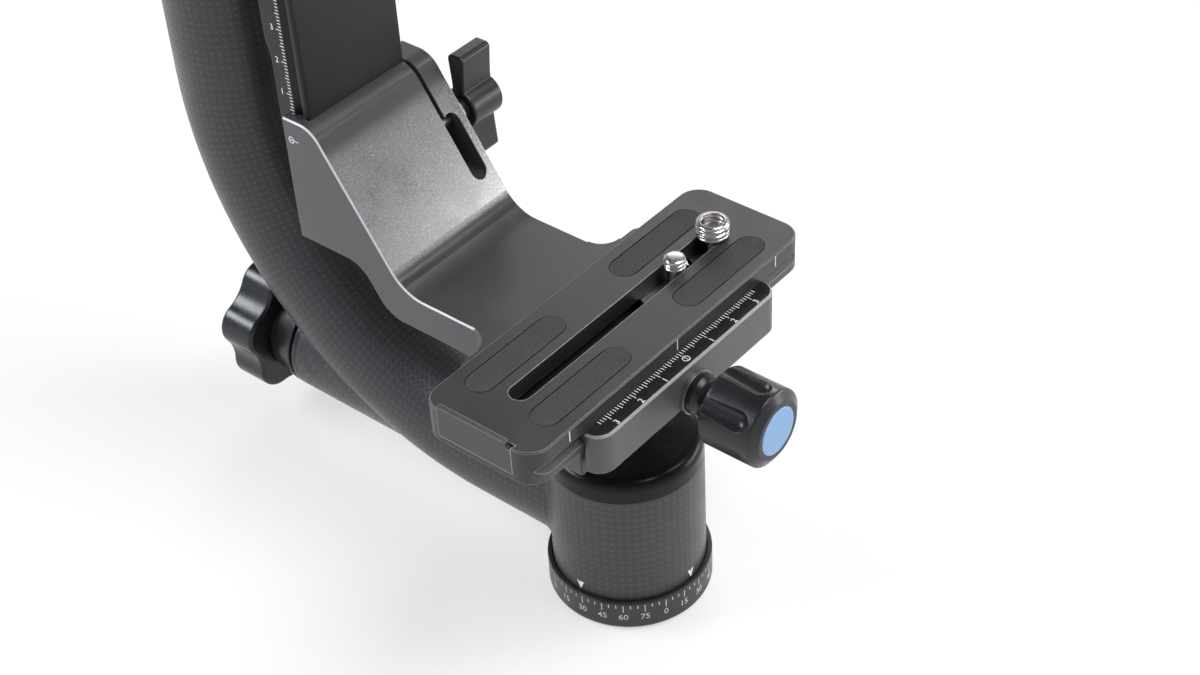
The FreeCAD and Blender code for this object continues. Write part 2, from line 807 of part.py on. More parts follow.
m5Key = 4.0
m4Key = 2.5
save("swing_hub", makeSwingHub())
save("tilt_spindle", makeTiltSpindle())
save("hub_screws", countersunk(m4Radius, towardsTilt, hubScrewLow, hubScrewLength, hubScrewPlaces))
save("tilt_sleeve", pipe(spindleBoss, shaftRadius + glueGap, (tiltOuter + bearingWidth, 0, tiltHeight),
                         (tiltInner, 0, tiltHeight)))
save("tilt_inner_races", [tiltInnerBearing[0], tiltOuterBearing[0]])
save("tilt_bearing_cages", [tiltInnerBearing[2], tiltOuterBearing[2]])
save("tilt_bearing_balls", tiltInnerBearing[3] + tiltOuterBearing[3])
save("tilt_washer", pipe(washerRadius, shaftRadius + slideGap, (tiltNutFace, 0, tiltHeight),
                         (tiltOuter, 0, tiltHeight)))
save("tilt_nut", makeTiltNut())
save("swing_rail", makeSwingRail())
save("rail_bolts", [socketScrew(m5HeadRadius, m5Radius, boltSeat, boltFace, boltEnd, y, z, m5Key)
                    for y, z in boltPlaces])
save("rail_stop_screws", [socketScrew(stopHeadRadius, m4Radius, railFront, railFront + stopHeadHeight,
                                      railFront - stopLength, railMiddle, z, m4Key)
                          for z in (lowerStop, upperStop)])


# ---- cradle bracket: slides on the rail and ends in the plate clamp ----

slopeRun = 1 / math.tan(math.radians(slopeAngle))
slopeEndX = slopeTopX + (cradleTop - platformTop) * slopeRun
underEndX = slopeFootX + (cradleFoot - platformBottom) * slopeRun
channelFront = railFront + slideGap
plateHalf = plateWidth / 2
grooveTop = plateTop - slabThick
grooveMid = grooveTop - dovetailDepth
grooveLow = grooveMid - dovetailDepth
toothGap = slideGap * math.sqrt(2)
toothReach = sideGap + dovetailDepth - toothGap
wallX = plateHalf + sideGap


def slopeX(z):
    """X of the bracket's front slope at a height."""
    return slopeTopX + (cradleTop - z) * slopeRun


def railTooth(wall, direction):
    """V-shaped tooth on a channel wall that fills the rail's side groove."""
    middle = (grooveFront + grooveBack) / 2
    half = (grooveFront - grooveBack) / 2 + slideGap - toothGap
    return planProfile([
        (middle - half, wall), (middle, wall + direction * half), (middle + half, wall),
        (middle + half, wall - direction), (middle - half, wall - direction)], cradleFoot, cradleTop)


def makeBracketBody():
    joinX = blockBack + flareRound / 2
    body = sideProfile([
        (cradleBack, cradleTop), (slopeTopX, cradleTop, slopeTopRound),
        (slopeEndX, platformTop, slopeFootRound), (joinX, platformTop), (joinX, platformBottom),
        (underEndX, platformBottom, underFootRound), (slopeFootX, cradleFoot, underTopRound),
        (cradleBack, cradleFoot)], -cradleHalf, cradleHalf)
    sides = edgesWhere(body, lambda p: near(abs(p.y), cradleHalf) and p.x < joinX - 1e-3)
    body = body.makeChamfer(edgeBreak, sides)
    clamp = planProfile([
        (blockBack, -blockHalf, blockRound), (blockFront, -blockHalf, smallRound),
        (blockFront, blockHalf, smallRound), (blockBack, blockHalf, blockRound)], blockBottom, platformTop)
    rims = edgesWhere(clamp, lambda p: near(p.z, platformTop) or near(p.z, blockBottom))
    clamp = clamp.makeChamfer(edgeBreak, rims)
    body = body.fuse(clamp)
    flareX = blockBack - flareRound
    for side in (-1, 1):
        tip = side * (cradleHalf + flareRound)
        low = (flareX, min(0, tip), platformBottom)
        high = (blockBack + 1, max(0, tip), platformTop)
        corner = rod(flareRound, (flareX, tip, platformBottom - 1), (flareX, tip, platformTop + 1))
        body = body.fuse(block(low, high).cut(corner))
    return body.removeSplitter()


def cutRailChannel(body):
    """Channel for the rail, the clamping slit with its pocket, and room for the stop screws."""
    near_ = railNear - slideGap
    far = railFar + slideGap
    channel = block((cradleBack - 1, near_, cradleFoot - 1), (channelFront, far, cradleTop + 1))
    slit = block((channelFront - slideGap, slitFrom, pocketHigh - (pocketFar - slitFrom) / 2),
                 (slopeX(pocketHigh) + 5, slitTo, cradleTop + 1))
    body = body.cut([channel, slit]).fuse([railTooth(near_, 1), railTooth(far, -1)])
    middle = (slitFrom + pocketFar) / 2
    half = (pocketFar - slitFrom) / 2
    ends = (pocketLow + half, pocketHigh - half)
    front = slopeX(pocketLow) + 5
    pocket = block((cradleBack - 1, slitFrom, ends[0]), (front, pocketFar, ends[1]))
    pocket = pocket.fuse([rod(half, (cradleBack - 1, middle, z), (front, middle, z)) for z in ends])
    room = stopHeadRadius + sealGap
    stopRoom = block((channelFront - slideGap, railMiddle - room, cradleFoot - 1),
                     (railFront + stopHeadHeight + sealGap, railMiddle + room,
                      lowerStop + stopHeadRadius + slideGap))
    return body.cut([pocket, stopRoom])


def cutClamp(body):
    """Plate channel with its fixed tooth, the screw's bore and the guide pins' holes."""
    floor = plateBottom - slideGap
    channel = sideProfile([
        (-wallX, platformTop + 1), (-wallX, grooveMid + toothReach), (-wallX + toothReach, grooveMid),
        (-wallX, grooveMid - toothReach), (-wallX, floor), (blockFront + 1, floor),
        (blockFront + 1, platformTop + 1)], -blockHalf - 1, blockHalf + 1)
    holes = [rod(m5Radius + slideGap, (clampBoreEnd, 0, clampAxis), (blockFront + 1, 0, clampAxis))]
    for y in (-guidePinY, guidePinY):
        holes.append(rod(guidePinRadius + slideGap, (clampBoreEnd, y, clampAxis),
                         (blockFront + 1, y, clampAxis)))
    return body.cut([channel] + holes)


def cutWingHoles(body):
    thread = rod(m5Radius + slideGap, (wingX, wingScrewStart - 1, wingZ), (wingX, slitTo, wingZ))
    clear = rod(m5Radius + seamGap, (wingX, slitFrom, wingZ), (wingX, cradleHalf + 1, wingZ))
    return body.cut([thread, clear])


save("cradle_bracket", cutWingHoles(cutClamp(cutRailChannel(makeBracketBody()))))


# ---- wing knob: clamps the cradle on the rail ----

washerNear = cradleHalf + slideGap
washerFar = washerNear + wingWasherThick


def makeWingKnob():
    def atFace(place):
        return near(place.y, wingStart) or near(place.y, wingEnd)

    shoulder = wingSpan * wingShoulder
    wings = sideProfile([
        (wingX + wingTip, wingZ + wingSpan, wingTipRound),
        (wingX + wingWaist, wingZ + shoulder, wingWaistRound),
        (wingX + wingWaist, wingZ - shoulder, wingWaistRound),
        (wingX + wingTip, wingZ - wingSpan, wingTipRound),
        (wingX - wingTip, wingZ - wingSpan, wingTipRound),
        (wingX - wingWaist, wingZ - shoulder, wingWaistRound),
        (wingX - wingWaist, wingZ + shoulder, wingWaistRound),
        (wingX - wingTip, wingZ + wingSpan, wingTipRound)], wingStart, wingEnd)
    wings = wings.makeFillet(smallRound, edgesWhere(wings, atFace))
    hub = rod(wingHub, (wingX, wingStart, wingZ), (wingX, wingEnd, wingZ))
    hub = hub.makeFillet(smallRound, edgesWhere(hub, atFace))
    neck = rod(wingNeck, (wingX, washerFar + slideGap, wingZ), (wingX, wingStart + 1, wingZ))
    knob = wings.fuse([hub, neck]).removeSplitter()
    return knob.cut(rod(m5Radius, (wingX, 0, wingZ), (wingX, wingEnd - wingCover, wingZ)))


save("wing_washer", pipe(wingWasherRadius, m5Radius + slideGap, (wingX, washerNear, wingZ),
                         (wingX, washerFar, wingZ)))
save("wing_knob", makeWingKnob())
save("wing_screw", rod(m5Radius, (wingX, wingScrewStart, wingZ),
                       (wingX, wingEnd - wingCover - slideGap, wingZ)))


# ---- moving jaw and its knob ----

jawOuter = wallX + jawThick
guidePinEnd = jawOuter - guidePinCover
clampWasherEnd = jawOuter + slideGap + clampWasherThick


def makeMovingJaw():
    jaw = planProfile([
        (wallX, -blockHalf, smallRound), (jawOuter, -blockHalf, jawRound),
        (jawOuter, blockHalf, jawRound), (wallX, blockHalf, smallRound)], jawBottom, grooveTop)

    def outside(place):
        return place.x > wallX + smallRound - 1e-3 and (near(place.z, grooveTop) or near(place.z, jawBottom))

    jaw = jaw.makeChamfer(jawChamfer, edgesWhere(jaw, outside))
    tooth = sideProfile([
        (wallX + 1, grooveMid + toothReach), (wallX, grooveMid + toothReach), (wallX - toothReach, grooveMid),
        (wallX, grooveMid - toothReach), (wallX + 1, grooveMid - toothReach)],
        -blockHalf + smallRound, blockHalf - smallRound)
    above = block((0, -blockHalf, grooveTop), (jawOuter, blockHalf, plateTop))
    jaw = jaw.fuse(tooth.cut(above)).removeSplitter()
    holes = [rod(m5Radius + jointLine, (0, 0, clampAxis), (jawOuter + 1, 0, clampAxis))]
    for y in (-guidePinY, guidePinY):
        holes.append(rod(guidePinRadius + glueGap, (0, y, clampAxis), (guidePinEnd, y, clampAxis)))
    return jaw.cut(holes)


def makeClampKnob():
    back = clampWasherEnd + slideGap
    face = clampKnobFace
    rim = discRadius + slideGap
    knob = turnedX([
        (back, 0), (back, clampCollar, seamGap), (back + clampCollarLength, clampCollar, edgeBreak),
        (back + clampNeckRun, clampStem, neckRound), (clampKnobBack - clampFlare, clampStem + 1, neckRound),
        (clampKnobBack, clampKnobRadius, headRound), (face - clampFaceBevel, clampKnobRadius, smallRound),
        (face, faceRim, edgeBreak), (face, rim), (face - discSeat, rim), (face - discSeat, 0)], clampAxis)
    flutes = []
    scoopX = fluteEnd - fluteRadius
    for y, z in around(clampFlutes, 1.0, firstFlute):
        backReach = clampKnobRadius + fluteRadius - fluteShallow
        endReach = clampKnobRadius + fluteRadius - fluteDeep
        lean = (backReach - endReach) / (scoopX - clampKnobBack)
        startX = clampKnobBack - 3
        startReach = backReach + 3 * lean
        start = (startX, y * startReach, clampAxis + z * startReach)
        end = (scoopX, y * endReach, clampAxis + z * endReach)
        flutes.append(rod(fluteRadius, start, end).fuse(Part.makeSphere(fluteRadius, V(*end))))
    bore = rod(m5Radius, (0, 0, clampAxis), (clampScrewEnd + slideGap, 0, clampAxis))
    return knob.cut(flutes + [bore])


save("moving_jaw", makeMovingJaw())
save("guide_pins", [rod(guidePinRadius, (guidePinStart, y, clampAxis), (guidePinEnd - slideGap, y, clampAxis))
                    for y in (-guidePinY, guidePinY)])
save("clamp_washer", pipe(clampWasherRadius, m5Radius + jointLine, (jawOuter + slideGap, 0, clampAxis),
                          (clampWasherEnd, 0, clampAxis)))
save("clamp_knob", makeClampKnob())
save("clamp_knob_disc", turnedX([
    (clampKnobFace - discSeat + glueGap, 0), (clampKnobFace - discSeat + glueGap, discRadius),
    (clampKnobFace + discProud, discRadius, jointLine), (clampKnobFace + discProud, 0)], clampAxis))
save("clamp_screw", rod(m5Radius - glueGap, (clampBoreEnd + 1, 0, clampAxis), (clampScrewEnd, 0, clampAxis)))


# ---- camera plate ----

padHalf = (padOuter - padInner) / 2
padPlaces = [(sideX * padOffset, plateShift + sideY * (padInner + padOuter) / 2)
             for sideX in (-1, 1) for sideY in (-1, 1)]
plateEnd = plateShift - plateLength / 2
plateFarEnd = plateShift + plateLength / 2
safetyPlaces = (plateShift - safetyScrewY, plateShift + safetyScrewY)
stopTop = plateTop + stopProud
stopSeat = plateBottom + stopFoot


def stopDovetail(gap, low, high):
    """Plan outline of the end stop, wider inside the plate than at its end face."""
    back = plateEnd + stopThick
    return planProfile([
        (stopLow + stopFlare - gap, plateEnd - gap), (stopLow - gap, back + gap),
        (stopNotch + gap, back + gap), (stopNotch - stopFlare + gap, plateEnd - gap)], low, high)


def makeCameraPlate():
    blank = planProfile([
        (-plateHalf, plateEnd, plateCorner), (plateHalf, plateEnd, plateCorner),
        (plateHalf, plateFarEnd, plateCorner), (-plateHalf, plateFarEnd, plateCorner)], plateBottom, plateTop)
    rim = edgesWhere(blank, lambda p: near(p.z, plateTop) or near(p.z, plateBottom))
    blank = blank.makeChamfer(plateEdge, rim)
    cuts = []
    for side in (-1, 1):
        edge = side * plateHalf
        cuts.append(sideProfile([
            (edge + side, grooveTop + 1), (edge - side * dovetailDepth, grooveMid),
            (edge + side, grooveLow - 1)], plateEnd - 1, plateFarEnd + 1))
    slotMiddle = plateShift + (slotNear + slotFar) / 2
    pocketMiddle = plateShift + (pocketNear + pocketEnd) / 2
    cuts.append(obround(0, slotMiddle, slotWidth / 2, (slotFar - slotNear) / 2,
                        plateBottom - 1, plateTop + 1))
    cuts.append(obround(0, pocketMiddle, pocketWidth / 2, (pocketEnd - pocketNear) / 2,
                        plateBottom - 1, plateBottom + pocketDepth))
    for x, y in padPlaces:
        cuts.append(obround(x, y, padWidth / 2, padHalf, plateTop - padRecess, plateTop + 1))
    cuts.append(stopDovetail(slideGap, stopSeat, plateTop + 1))
    for y in safetyPlaces:
        cuts.append(rod(m3Radius + glueGap, (0, y, plateBottom - 1),
                        (0, y, plateBottom + safetyDepth + slideGap)))
    for cut in cuts:
        blank = blank.cut(cut)
    return blank


def makeEndStop():
    """Thin stop let into the plate's end, with a lip that stands above the plate's top."""
    shoulder = plateTop - stopNotchDepth
    front = sideProfile([
        (stopLow, stopSeat + slideGap), (stopNotch, stopSeat + slideGap), (stopNotch, shoulder),
        (stopHigh, shoulder, seamGap), (stopHigh, stopTop, smallRound), (stopLow, stopTop, smallRound)],
        plateEnd, plateEnd + stopThick)
    return front.common(stopDovetail(0, stopSeat, stopTop + 1))


def makeSafetyScrews():
    screws = []
    for y in safetyPlaces:
        head = rod(m3HeadRadius, (0, y, plateBottom - safetyHeadHeight), (0, y, plateBottom))
        socket = planProfile(hexagon(0, y, m3Radius), plateBottom - safetyHeadHeight - 1,
                             plateBottom - safetyHeadHeight / 2)
        shank = rod(m3Radius, (0, y, plateBottom), (0, y, plateBottom + safetyDepth))
        screws.append(head.cut(socket).fuse(shank).removeSplitter())
    return screws


save("camera_plate", makeCameraPlate())
save("grip_pads", [obround(x, y, padWidth / 2 - padGap, padHalf - padGap,
                           plateTop - padRecess, plateTop + padProud) for x, y in padPlaces])
save("end_stop", makeEndStop())
save("safety_screws", makeSafetyScrews())


# ---- camera screws: each slides along the slot with its washer and turns in it ----

headLow = plateBottom + headLift
headTop = headLow + headHeight
slotWasherLow = headTop + slideGap
slotWasherTop = slotWasherLow + slotWasherThick
quarterPlace = plateShift + quarterY
largePlace = plateShift + largeY
adapterLow = largeTop - largeThread
innerScrewRadius = quarterRadius - slideGap
slotWasherRadius = pocketWidth / 2 - slotWasherGap
slotWasherBore = neckRadius + slideGap


def makeQuarterWasher():
    """Flat washer with round ends in the pocket under the plate, longer towards -Y."""
    halfLength = (slotWasherRadius + washerTail) / 2
    middle = quarterPlace + slotWasherRadius - halfLength
    body = obround(0, middle, slotWasherRadius, halfLength, slotWasherLow, slotWasherTop)
    return body.cut(rod(slotWasherBore, (0, quarterPlace, slotWasherLow), (0, quarterPlace, slotWasherTop)))


def turnedAt(points, y):
    shape = turnedZ(points)
    shape.translate(V(0, y, 0))
    return shape


def makeCameraScrew(threadLow, top, radius, y):
    """Slotted head below, smooth neck and a short thread on top."""
    body = turnedAt([
        (headLow, 0), (headLow, headRadius, seamGap), (headTop, headRadius, seamGap), (headTop, neckRadius),
        (threadLow, neckRadius), (threadLow, radius, seamGap), (top, radius, smallRound), (top, 0)], y)
    coin = block((-coinSlot / 2, y - headRadius, headLow - 1), (coinSlot / 2, y + headRadius, headLow + 1))
    return body.cut(coin)


save("quarter_screw_washer", makeQuarterWasher())
save("large_screw_washer", pipe(slotWasherRadius, slotWasherBore, (0, largePlace, slotWasherLow),
                                (0, largePlace, slotWasherTop)))
save("quarter_camera_screw", makeCameraScrew(
    quarterTop - quarterThread, quarterTop, quarterRadius, quarterPlace))
save("large_camera_screw", makeCameraScrew(
    adapterLow, largeTop - adapterHollow, innerScrewRadius, largePlace))
save("thread_adapter", turnedAt([
    (adapterLow, innerScrewRadius + glueGap), (adapterLow, largeRadius, edgeBreak),
    (largeTop, largeRadius, edgeBreak), (largeTop, innerScrewRadius + glueGap)], largePlace))
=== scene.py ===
# Gimbal head: finishes, painted scales, screw threads, grip pads, light and camera.
import bpy, bmesh, math
from mathutils import Matrix, Vector


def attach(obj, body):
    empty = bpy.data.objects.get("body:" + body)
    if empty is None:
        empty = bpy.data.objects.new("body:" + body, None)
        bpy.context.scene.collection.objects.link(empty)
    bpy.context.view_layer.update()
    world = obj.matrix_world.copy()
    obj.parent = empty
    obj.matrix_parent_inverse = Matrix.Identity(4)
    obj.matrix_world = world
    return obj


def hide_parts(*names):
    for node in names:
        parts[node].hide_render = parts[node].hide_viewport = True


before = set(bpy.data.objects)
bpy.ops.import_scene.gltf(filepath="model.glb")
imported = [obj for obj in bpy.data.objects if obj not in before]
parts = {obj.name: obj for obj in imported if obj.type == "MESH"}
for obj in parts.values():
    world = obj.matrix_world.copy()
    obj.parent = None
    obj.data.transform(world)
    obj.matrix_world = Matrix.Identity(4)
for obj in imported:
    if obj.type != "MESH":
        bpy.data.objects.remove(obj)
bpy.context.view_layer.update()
mm = 0.001
print("frame loaded:", len(parts), "CAD nodes")


# small helpers for node trees

def wire(tree, value, socket):
    if isinstance(value, bpy.types.NodeSocket):
        tree.links.new(value, socket)
    elif value is not None:
        socket.default_value = value


def calc(tree, operation, *values):
    node = tree.nodes.new("ShaderNodeMath")
    node.operation = operation
    for socket, value in zip(node.inputs, values):
        wire(tree, value, socket)
    return node.outputs[0]


def times(tree, first, second):
    return calc(tree, "MULTIPLY", first, second)


def plus(tree, first, second):
    return calc(tree, "ADD", first, second)


def minus(tree, first, second):
    return calc(tree, "SUBTRACT", first, second)


def distance(tree, value):
    return calc(tree, "ABSOLUTE", value)


def vectorCalc(tree, operation, *values):
    node = tree.nodes.new("ShaderNodeVectorMath")
    node.operation = operation
    for socket, value in zip(node.inputs, values):
        wire(tree, value, socket)
    return node.outputs["Value" if operation in ("DOT_PRODUCT", "LENGTH") else "Vector"]


def axesOf(tree, vector):
    node = tree.nodes.new("ShaderNodeSeparateXYZ")
    wire(tree, vector, node.inputs[0])
    return node.outputs[0], node.outputs[1], node.outputs[2]


def joinAxes(tree, x, y, z=0.0):
    node = tree.nodes.new("ShaderNodeCombineXYZ")
    for socket, value in zip(node.inputs, (x, y, z)):
        wire(tree, value, socket)
    return node.outputs[0]


def rise(tree, value, low, high, toLow=0.0, toHigh=1.0):
    node = tree.nodes.new("ShaderNodeMapRange")
    node.interpolation_type = "SMOOTHSTEP"
    limits = {"Value": value, "From Min": low, "From Max": high, "To Min": toLow, "To Max": toHigh}
    for name, number in limits.items():
        wire(tree, number, node.inputs[name])
    return node.outputs[0]


def noise(tree, vector, scale, detail=2.0, roughness=0.5):
    node = tree.nodes.new("ShaderNodeTexNoise")
    wire(tree, vector, node.inputs["Vector"])
    wire(tree, scale, node.inputs["Scale"])
    node.inputs["Detail"].default_value = detail
    node.inputs["Roughness"].default_value = roughness
    return node.outputs[0]


def mixTint(tree, factor, first, second):
    node = tree.nodes.new("ShaderNodeMix")
    node.data_type = "RGBA"
    wire(tree, factor, node.inputs["Factor"])
    wire(tree, first, node.inputs[6])       # the two colour sockets
    wire(tree, second, node.inputs[7])
    return node.outputs[2]


def bump(tree, height, distance, strength=1.0, normal=None):
    node = tree.nodes.new("ShaderNodeBump")
    node.inputs["Distance"].default_value = distance
    node.inputs["Strength"].default_value = strength
    wire(tree, height, node.inputs["Height"])
    wire(tree, normal, node.inputs["Normal"])
    return node.outputs[0]


def newGroup(name, inputs, outputs):
    tree = bpy.data.node_groups.new(name, "ShaderNodeTree")
    for label, kind, value in inputs:
        socket = tree.interface.new_socket(name=label, in_out="INPUT", socket_type="NodeSocket" + kind)
        if value is not None:
            socket.default_value = value
    for label, kind in outputs:
        tree.interface.new_socket(name=label, in_out="OUTPUT", socket_type="NodeSocket" + kind)
    start = tree.nodes.new("NodeGroupInput").outputs
    end = tree.nodes.new("NodeGroupOutput").inputs
    return tree, start, end


def useGroup(tree, group, **values):
    node = tree.nodes.new("ShaderNodeGroup")
    node.node_tree = group
    for name, value in values.items():
        wire(tree, value, node.inputs[name])
    return node.outputs


# effects that several finishes share

blast = {"detail": 3.0, "roughness": 0.65, "facets": 1.1, "grainShare": 0.65, "facetShare": 0.35,
         "sparkle": (0.72, 1.0), "shade": (0.3, 0.7)}


def makeBlastedGrain():
    tree, start, end = newGroup("Blasted Grain", [("Vector", "Vector", None), ("Size", "Float", 0.0002)],
                                [("Height", "Float"), ("Sparkle", "Float"), ("Shade", "Float")])
    scale = calc(tree, "DIVIDE", 1.0, start["Size"])
    fine = noise(tree, start["Vector"], scale, blast["detail"], blast["roughness"])
    cells = tree.nodes.new("ShaderNodeTexVoronoi")
    wire(tree, start["Vector"], cells.inputs["Vector"])
    wire(tree, times(tree, scale, blast["facets"]), cells.inputs["Scale"])
    facet = axesOf(tree, cells.outputs["Color"])[0]
    height = plus(tree, times(tree, fine, blast["grainShare"]), times(tree, facet, blast["facetShare"]))
    wire(tree, height, end["Height"])
    wire(tree, rise(tree, facet, *blast["sparkle"]), end["Sparkle"])
    wire(tree, rise(tree, fine, *blast["shade"]), end["Shade"])
    return tree


latheMarks = {"lines": 0.5, "streaks": 0.07, "detail": 2.0}


def makeTurnedLines():
    tree, start, end = newGroup("Turned Lines", [
        ("Vector", "Vector", None), ("Centre", "Vector", (0, 0, 0)), ("Axis", "Vector", (0, 0, 1)),
        ("Pitch", "Float", 0.00015)],
        [("Height", "Float"), ("Streak", "Float")])
    place = vectorCalc(tree, "SUBTRACT", start["Vector"], start["Centre"])
    along = vectorCalc(tree, "DOT_PRODUCT", place, start["Axis"])
    across = vectorCalc(tree, "CROSS_PRODUCT", place, start["Axis"])
    radius = vectorCalc(tree, "LENGTH", across)
    step = calc(tree, "DIVIDE", plus(tree, along, radius), start["Pitch"])
    for scale, name in ((latheMarks["lines"], "Height"), (latheMarks["streaks"], "Streak")):
        node = tree.nodes.new("ShaderNodeTexNoise")
        node.noise_dimensions = "1D"
        wire(tree, step, node.inputs["W"])
        node.inputs["Scale"].default_value = scale
        node.inputs["Detail"].default_value = latheMarks["detail"]
        wire(tree, node.outputs[0], end[name])
    return tree


edgeWearAndGlintShape = {"samples": 6, "turn": (0.995, 0.85)}      # turn: from flat to a full edge, worn and painted bright


# Edge mask: the pale edge colours it drives stand partly for film broken at the edges and partly for a painted
# edge highlight.
def makeEdgeWearAndGlint():
    tree, start, end = newGroup("Edge Wear And Glint", [("Width", "Float", 0.0003)],
                                [("Mask", "Float"), ("Normal", "Vector")])
    bevel = tree.nodes.new("ShaderNodeBevel")
    bevel.samples = edgeWearAndGlintShape["samples"]
    wire(tree, start["Width"], bevel.inputs["Radius"])
    face = tree.nodes.new("ShaderNodeNewGeometry").outputs["Normal"]
    same = vectorCalc(tree, "DOT_PRODUCT", bevel.outputs[0], face)
    wire(tree, rise(tree, same, *edgeWearAndGlintShape["turn"]), end["Mask"])
    wire(tree, bevel.outputs[0], end["Normal"])
    return tree


fingers = {"detail": 4.0, "roughness": 0.55, "smudge": (0.32, 0.68), "specks": 28.0, "dust": (0.76, 0.82)}


def makeHandling():
    tree, start, end = newGroup("Handling", [("Vector", "Vector", None), ("Size", "Float", 0.012)],
                                [("Smudge", "Float"), ("Dust", "Float")])
    scale = calc(tree, "DIVIDE", 1.0, start["Size"])
    broad = noise(tree, start["Vector"], scale, fingers["detail"], fingers["roughness"])
    wire(tree, rise(tree, broad, *fingers["smudge"]), end["Smudge"])
    specks = noise(tree, start["Vector"], times(tree, scale, fingers["specks"]), 1.0, 0.4)
    wire(tree, rise(tree, specks, *fingers["dust"]), end["Dust"])
    return tree


# Plain weave laid at 45 degrees, unrolled from the arm's level run, bend and upright, and from its two drums.
towShape = {"diagonal": 0.70711, "shake": 0.00025, "shakeScale": 260.0, "round": 0.45, "flat": 0.55,
            "lift": 0.45, "strandLong": 0.6, "strandAcross": 14.0, "fibreRelief": 0.12, "gap": (0.75, 0.35),
            "skin": 0.0007}


def makeCarbonWeave():
    tree, start, end = newGroup("Carbon Weave", [
        ("Vector", "Vector", None), ("Bend X", "Float", 0.0), ("Bend Z", "Float", 0.0),
        ("Bend Radius", "Float", 0.1), ("Tube Radius", "Float", 0.02),
        ("Drum Radius", "Float", 0.02), ("Drum Top", "Float", 0.05),
        ("Housing X", "Float", 0.0), ("Housing Z", "Float", 0.2), ("Tow", "Float", 0.0016)],
        [("Height", "Float"), ("Warp", "Float"), ("Fibre", "Float"), ("Gap", "Float")])
    x, y, z = axesOf(tree, start["Vector"])
    beforeBend = minus(tree, start["Bend X"], x)
    underBend = minus(tree, start["Bend Z"], z)
    side = calc(tree, "MAXIMUM", beforeBend, 0.0)
    down = calc(tree, "MAXIMUM", underBend, 0.0)
    run = times(tree, calc(tree, "ARCTAN2", side, down), start["Bend Radius"])
    run = plus(tree, run, calc(tree, "MINIMUM", beforeBend, 0.0))
    run = minus(tree, run, calc(tree, "MINIMUM", underBend, 0.0))
    reach = calc(tree, "SQRT", plus(tree, times(tree, side, side), times(tree, down, down)))
    offset = minus(tree, reach, start["Bend Radius"])
    around = times(tree, calc(tree, "ARCTAN2", y, offset), start["Tube Radius"])
    fromAxis = calc(tree, "SQRT", plus(tree, times(tree, x, x), times(tree, y, y)))
    onDrum = times(tree, calc(tree, "LESS_THAN", fromAxis, plus(tree, start["Drum Radius"], towShape["skin"])),
                   calc(tree, "LESS_THAN", z, start["Drum Top"]))
    drumAround = times(tree, calc(tree, "ARCTAN2", y, x), start["Drum Radius"])
    above = minus(tree, z, start["Housing Z"])
    fromTilt = calc(tree, "SQRT", plus(tree, times(tree, above, above), times(tree, y, y)))
    outermost = plus(tree, start["Drum Radius"], towShape["skin"])
    innermost = minus(tree, start["Drum Radius"], towShape["skin"])
    onHousing = times(tree, calc(tree, "LESS_THAN", fromTilt, outermost),
                      calc(tree, "GREATER_THAN", fromTilt, innermost))
    onHousing = times(tree, onHousing, calc(tree, "LESS_THAN", x, start["Housing X"]))
    housingAround = times(tree, calc(tree, "ARCTAN2", above, y), start["Drum Radius"])

    def choose(mask, first, second):
        return plus(tree, times(tree, mask, first), times(tree, minus(tree, 1.0, mask), second))

    u = choose(onDrum, drumAround, choose(onHousing, housingAround, around))
    v = choose(onDrum, z, choose(onHousing, x, run))
    shake = minus(tree, noise(tree, start["Vector"], towShape["shakeScale"], 1.0), 0.5)
    shake = times(tree, shake, towShape["shake"])
    warp = plus(tree, times(tree, plus(tree, u, v), towShape["diagonal"]), shake)
    weft = minus(tree, times(tree, minus(tree, v, u), towShape["diagonal"]), shake)
    warp = calc(tree, "DIVIDE", warp, start["Tow"])
    weft = calc(tree, "DIVIDE", weft, start["Tow"])
    square = plus(tree, calc(tree, "FLOOR", warp), calc(tree, "FLOOR", weft))
    warpOver = calc(tree, "FLOORED_MODULO", square, 2.0)
    humpWarp = calc(tree, "SINE", times(tree, calc(tree, "FRACT", warp), math.pi))
    humpWeft = calc(tree, "SINE", times(tree, calc(tree, "FRACT", weft), math.pi))
    lie = choose(warpOver, humpWarp, humpWeft)      # rise of the upper tow along its length
    width = choose(warpOver, humpWeft, humpWarp)    # and its round across
    width = calc(tree, "POWER", width, towShape["round"])
    height = times(tree, width, plus(tree, towShape["flat"], times(tree, lie, towShape["lift"])))
    strandLong, strandAcross = towShape["strandLong"], towShape["strandAcross"]
    along = choose(warpOver, times(tree, warp, strandLong), times(tree, weft, strandLong))
    across = choose(warpOver, times(tree, weft, strandAcross), times(tree, warp, strandAcross))
    strand = joinAxes(tree, along, across, warpOver)
    fibre = noise(tree, strand, 1.0, 2.0, 0.6)
    wire(tree, plus(tree, height, times(tree, fibre, towShape["fibreRelief"])), end["Height"])
    # painted sheen: marks the middle of each tow lying on top in the warp direction, for a lighter colour
    wire(tree, times(tree, warpOver, times(tree, humpWarp, humpWeft)), end["Warp"])
    wire(tree, fibre, end["Fibre"])
    wire(tree, rise(tree, width, *towShape["gap"]), end["Gap"])
    return tree


blastedGrain = makeBlastedGrain()
turnedLines = makeTurnedLines()
edgeWearAndGlint = makeEdgeWearAndGlint()
handling = makeHandling()
carbonWeave = makeCarbonWeave()
print("shared effects made:", len(bpy.data.node_groups))


def startFinish(name, look):
    finish = bpy.data.materials.new(name)
    finish.use_nodes = True
    tree = finish.node_tree
    shader = tree.nodes["Principled BSDF"]
    place = tree.nodes.new("ShaderNodeTexCoord").outputs
    for key, value in look.get("shader", {}).items():
        shader.inputs[key].default_value = value
    return finish, tree, shader, place


def fillShader(tree, shader, tint, rough, normal):
    for name, value in (("Base Color", tint), ("Roughness", rough), ("Normal", normal)):
        wire(tree, value, shader.inputs[name])


def grey(level, blue=1.0):
    return (level, level, level * blue, 1.0)


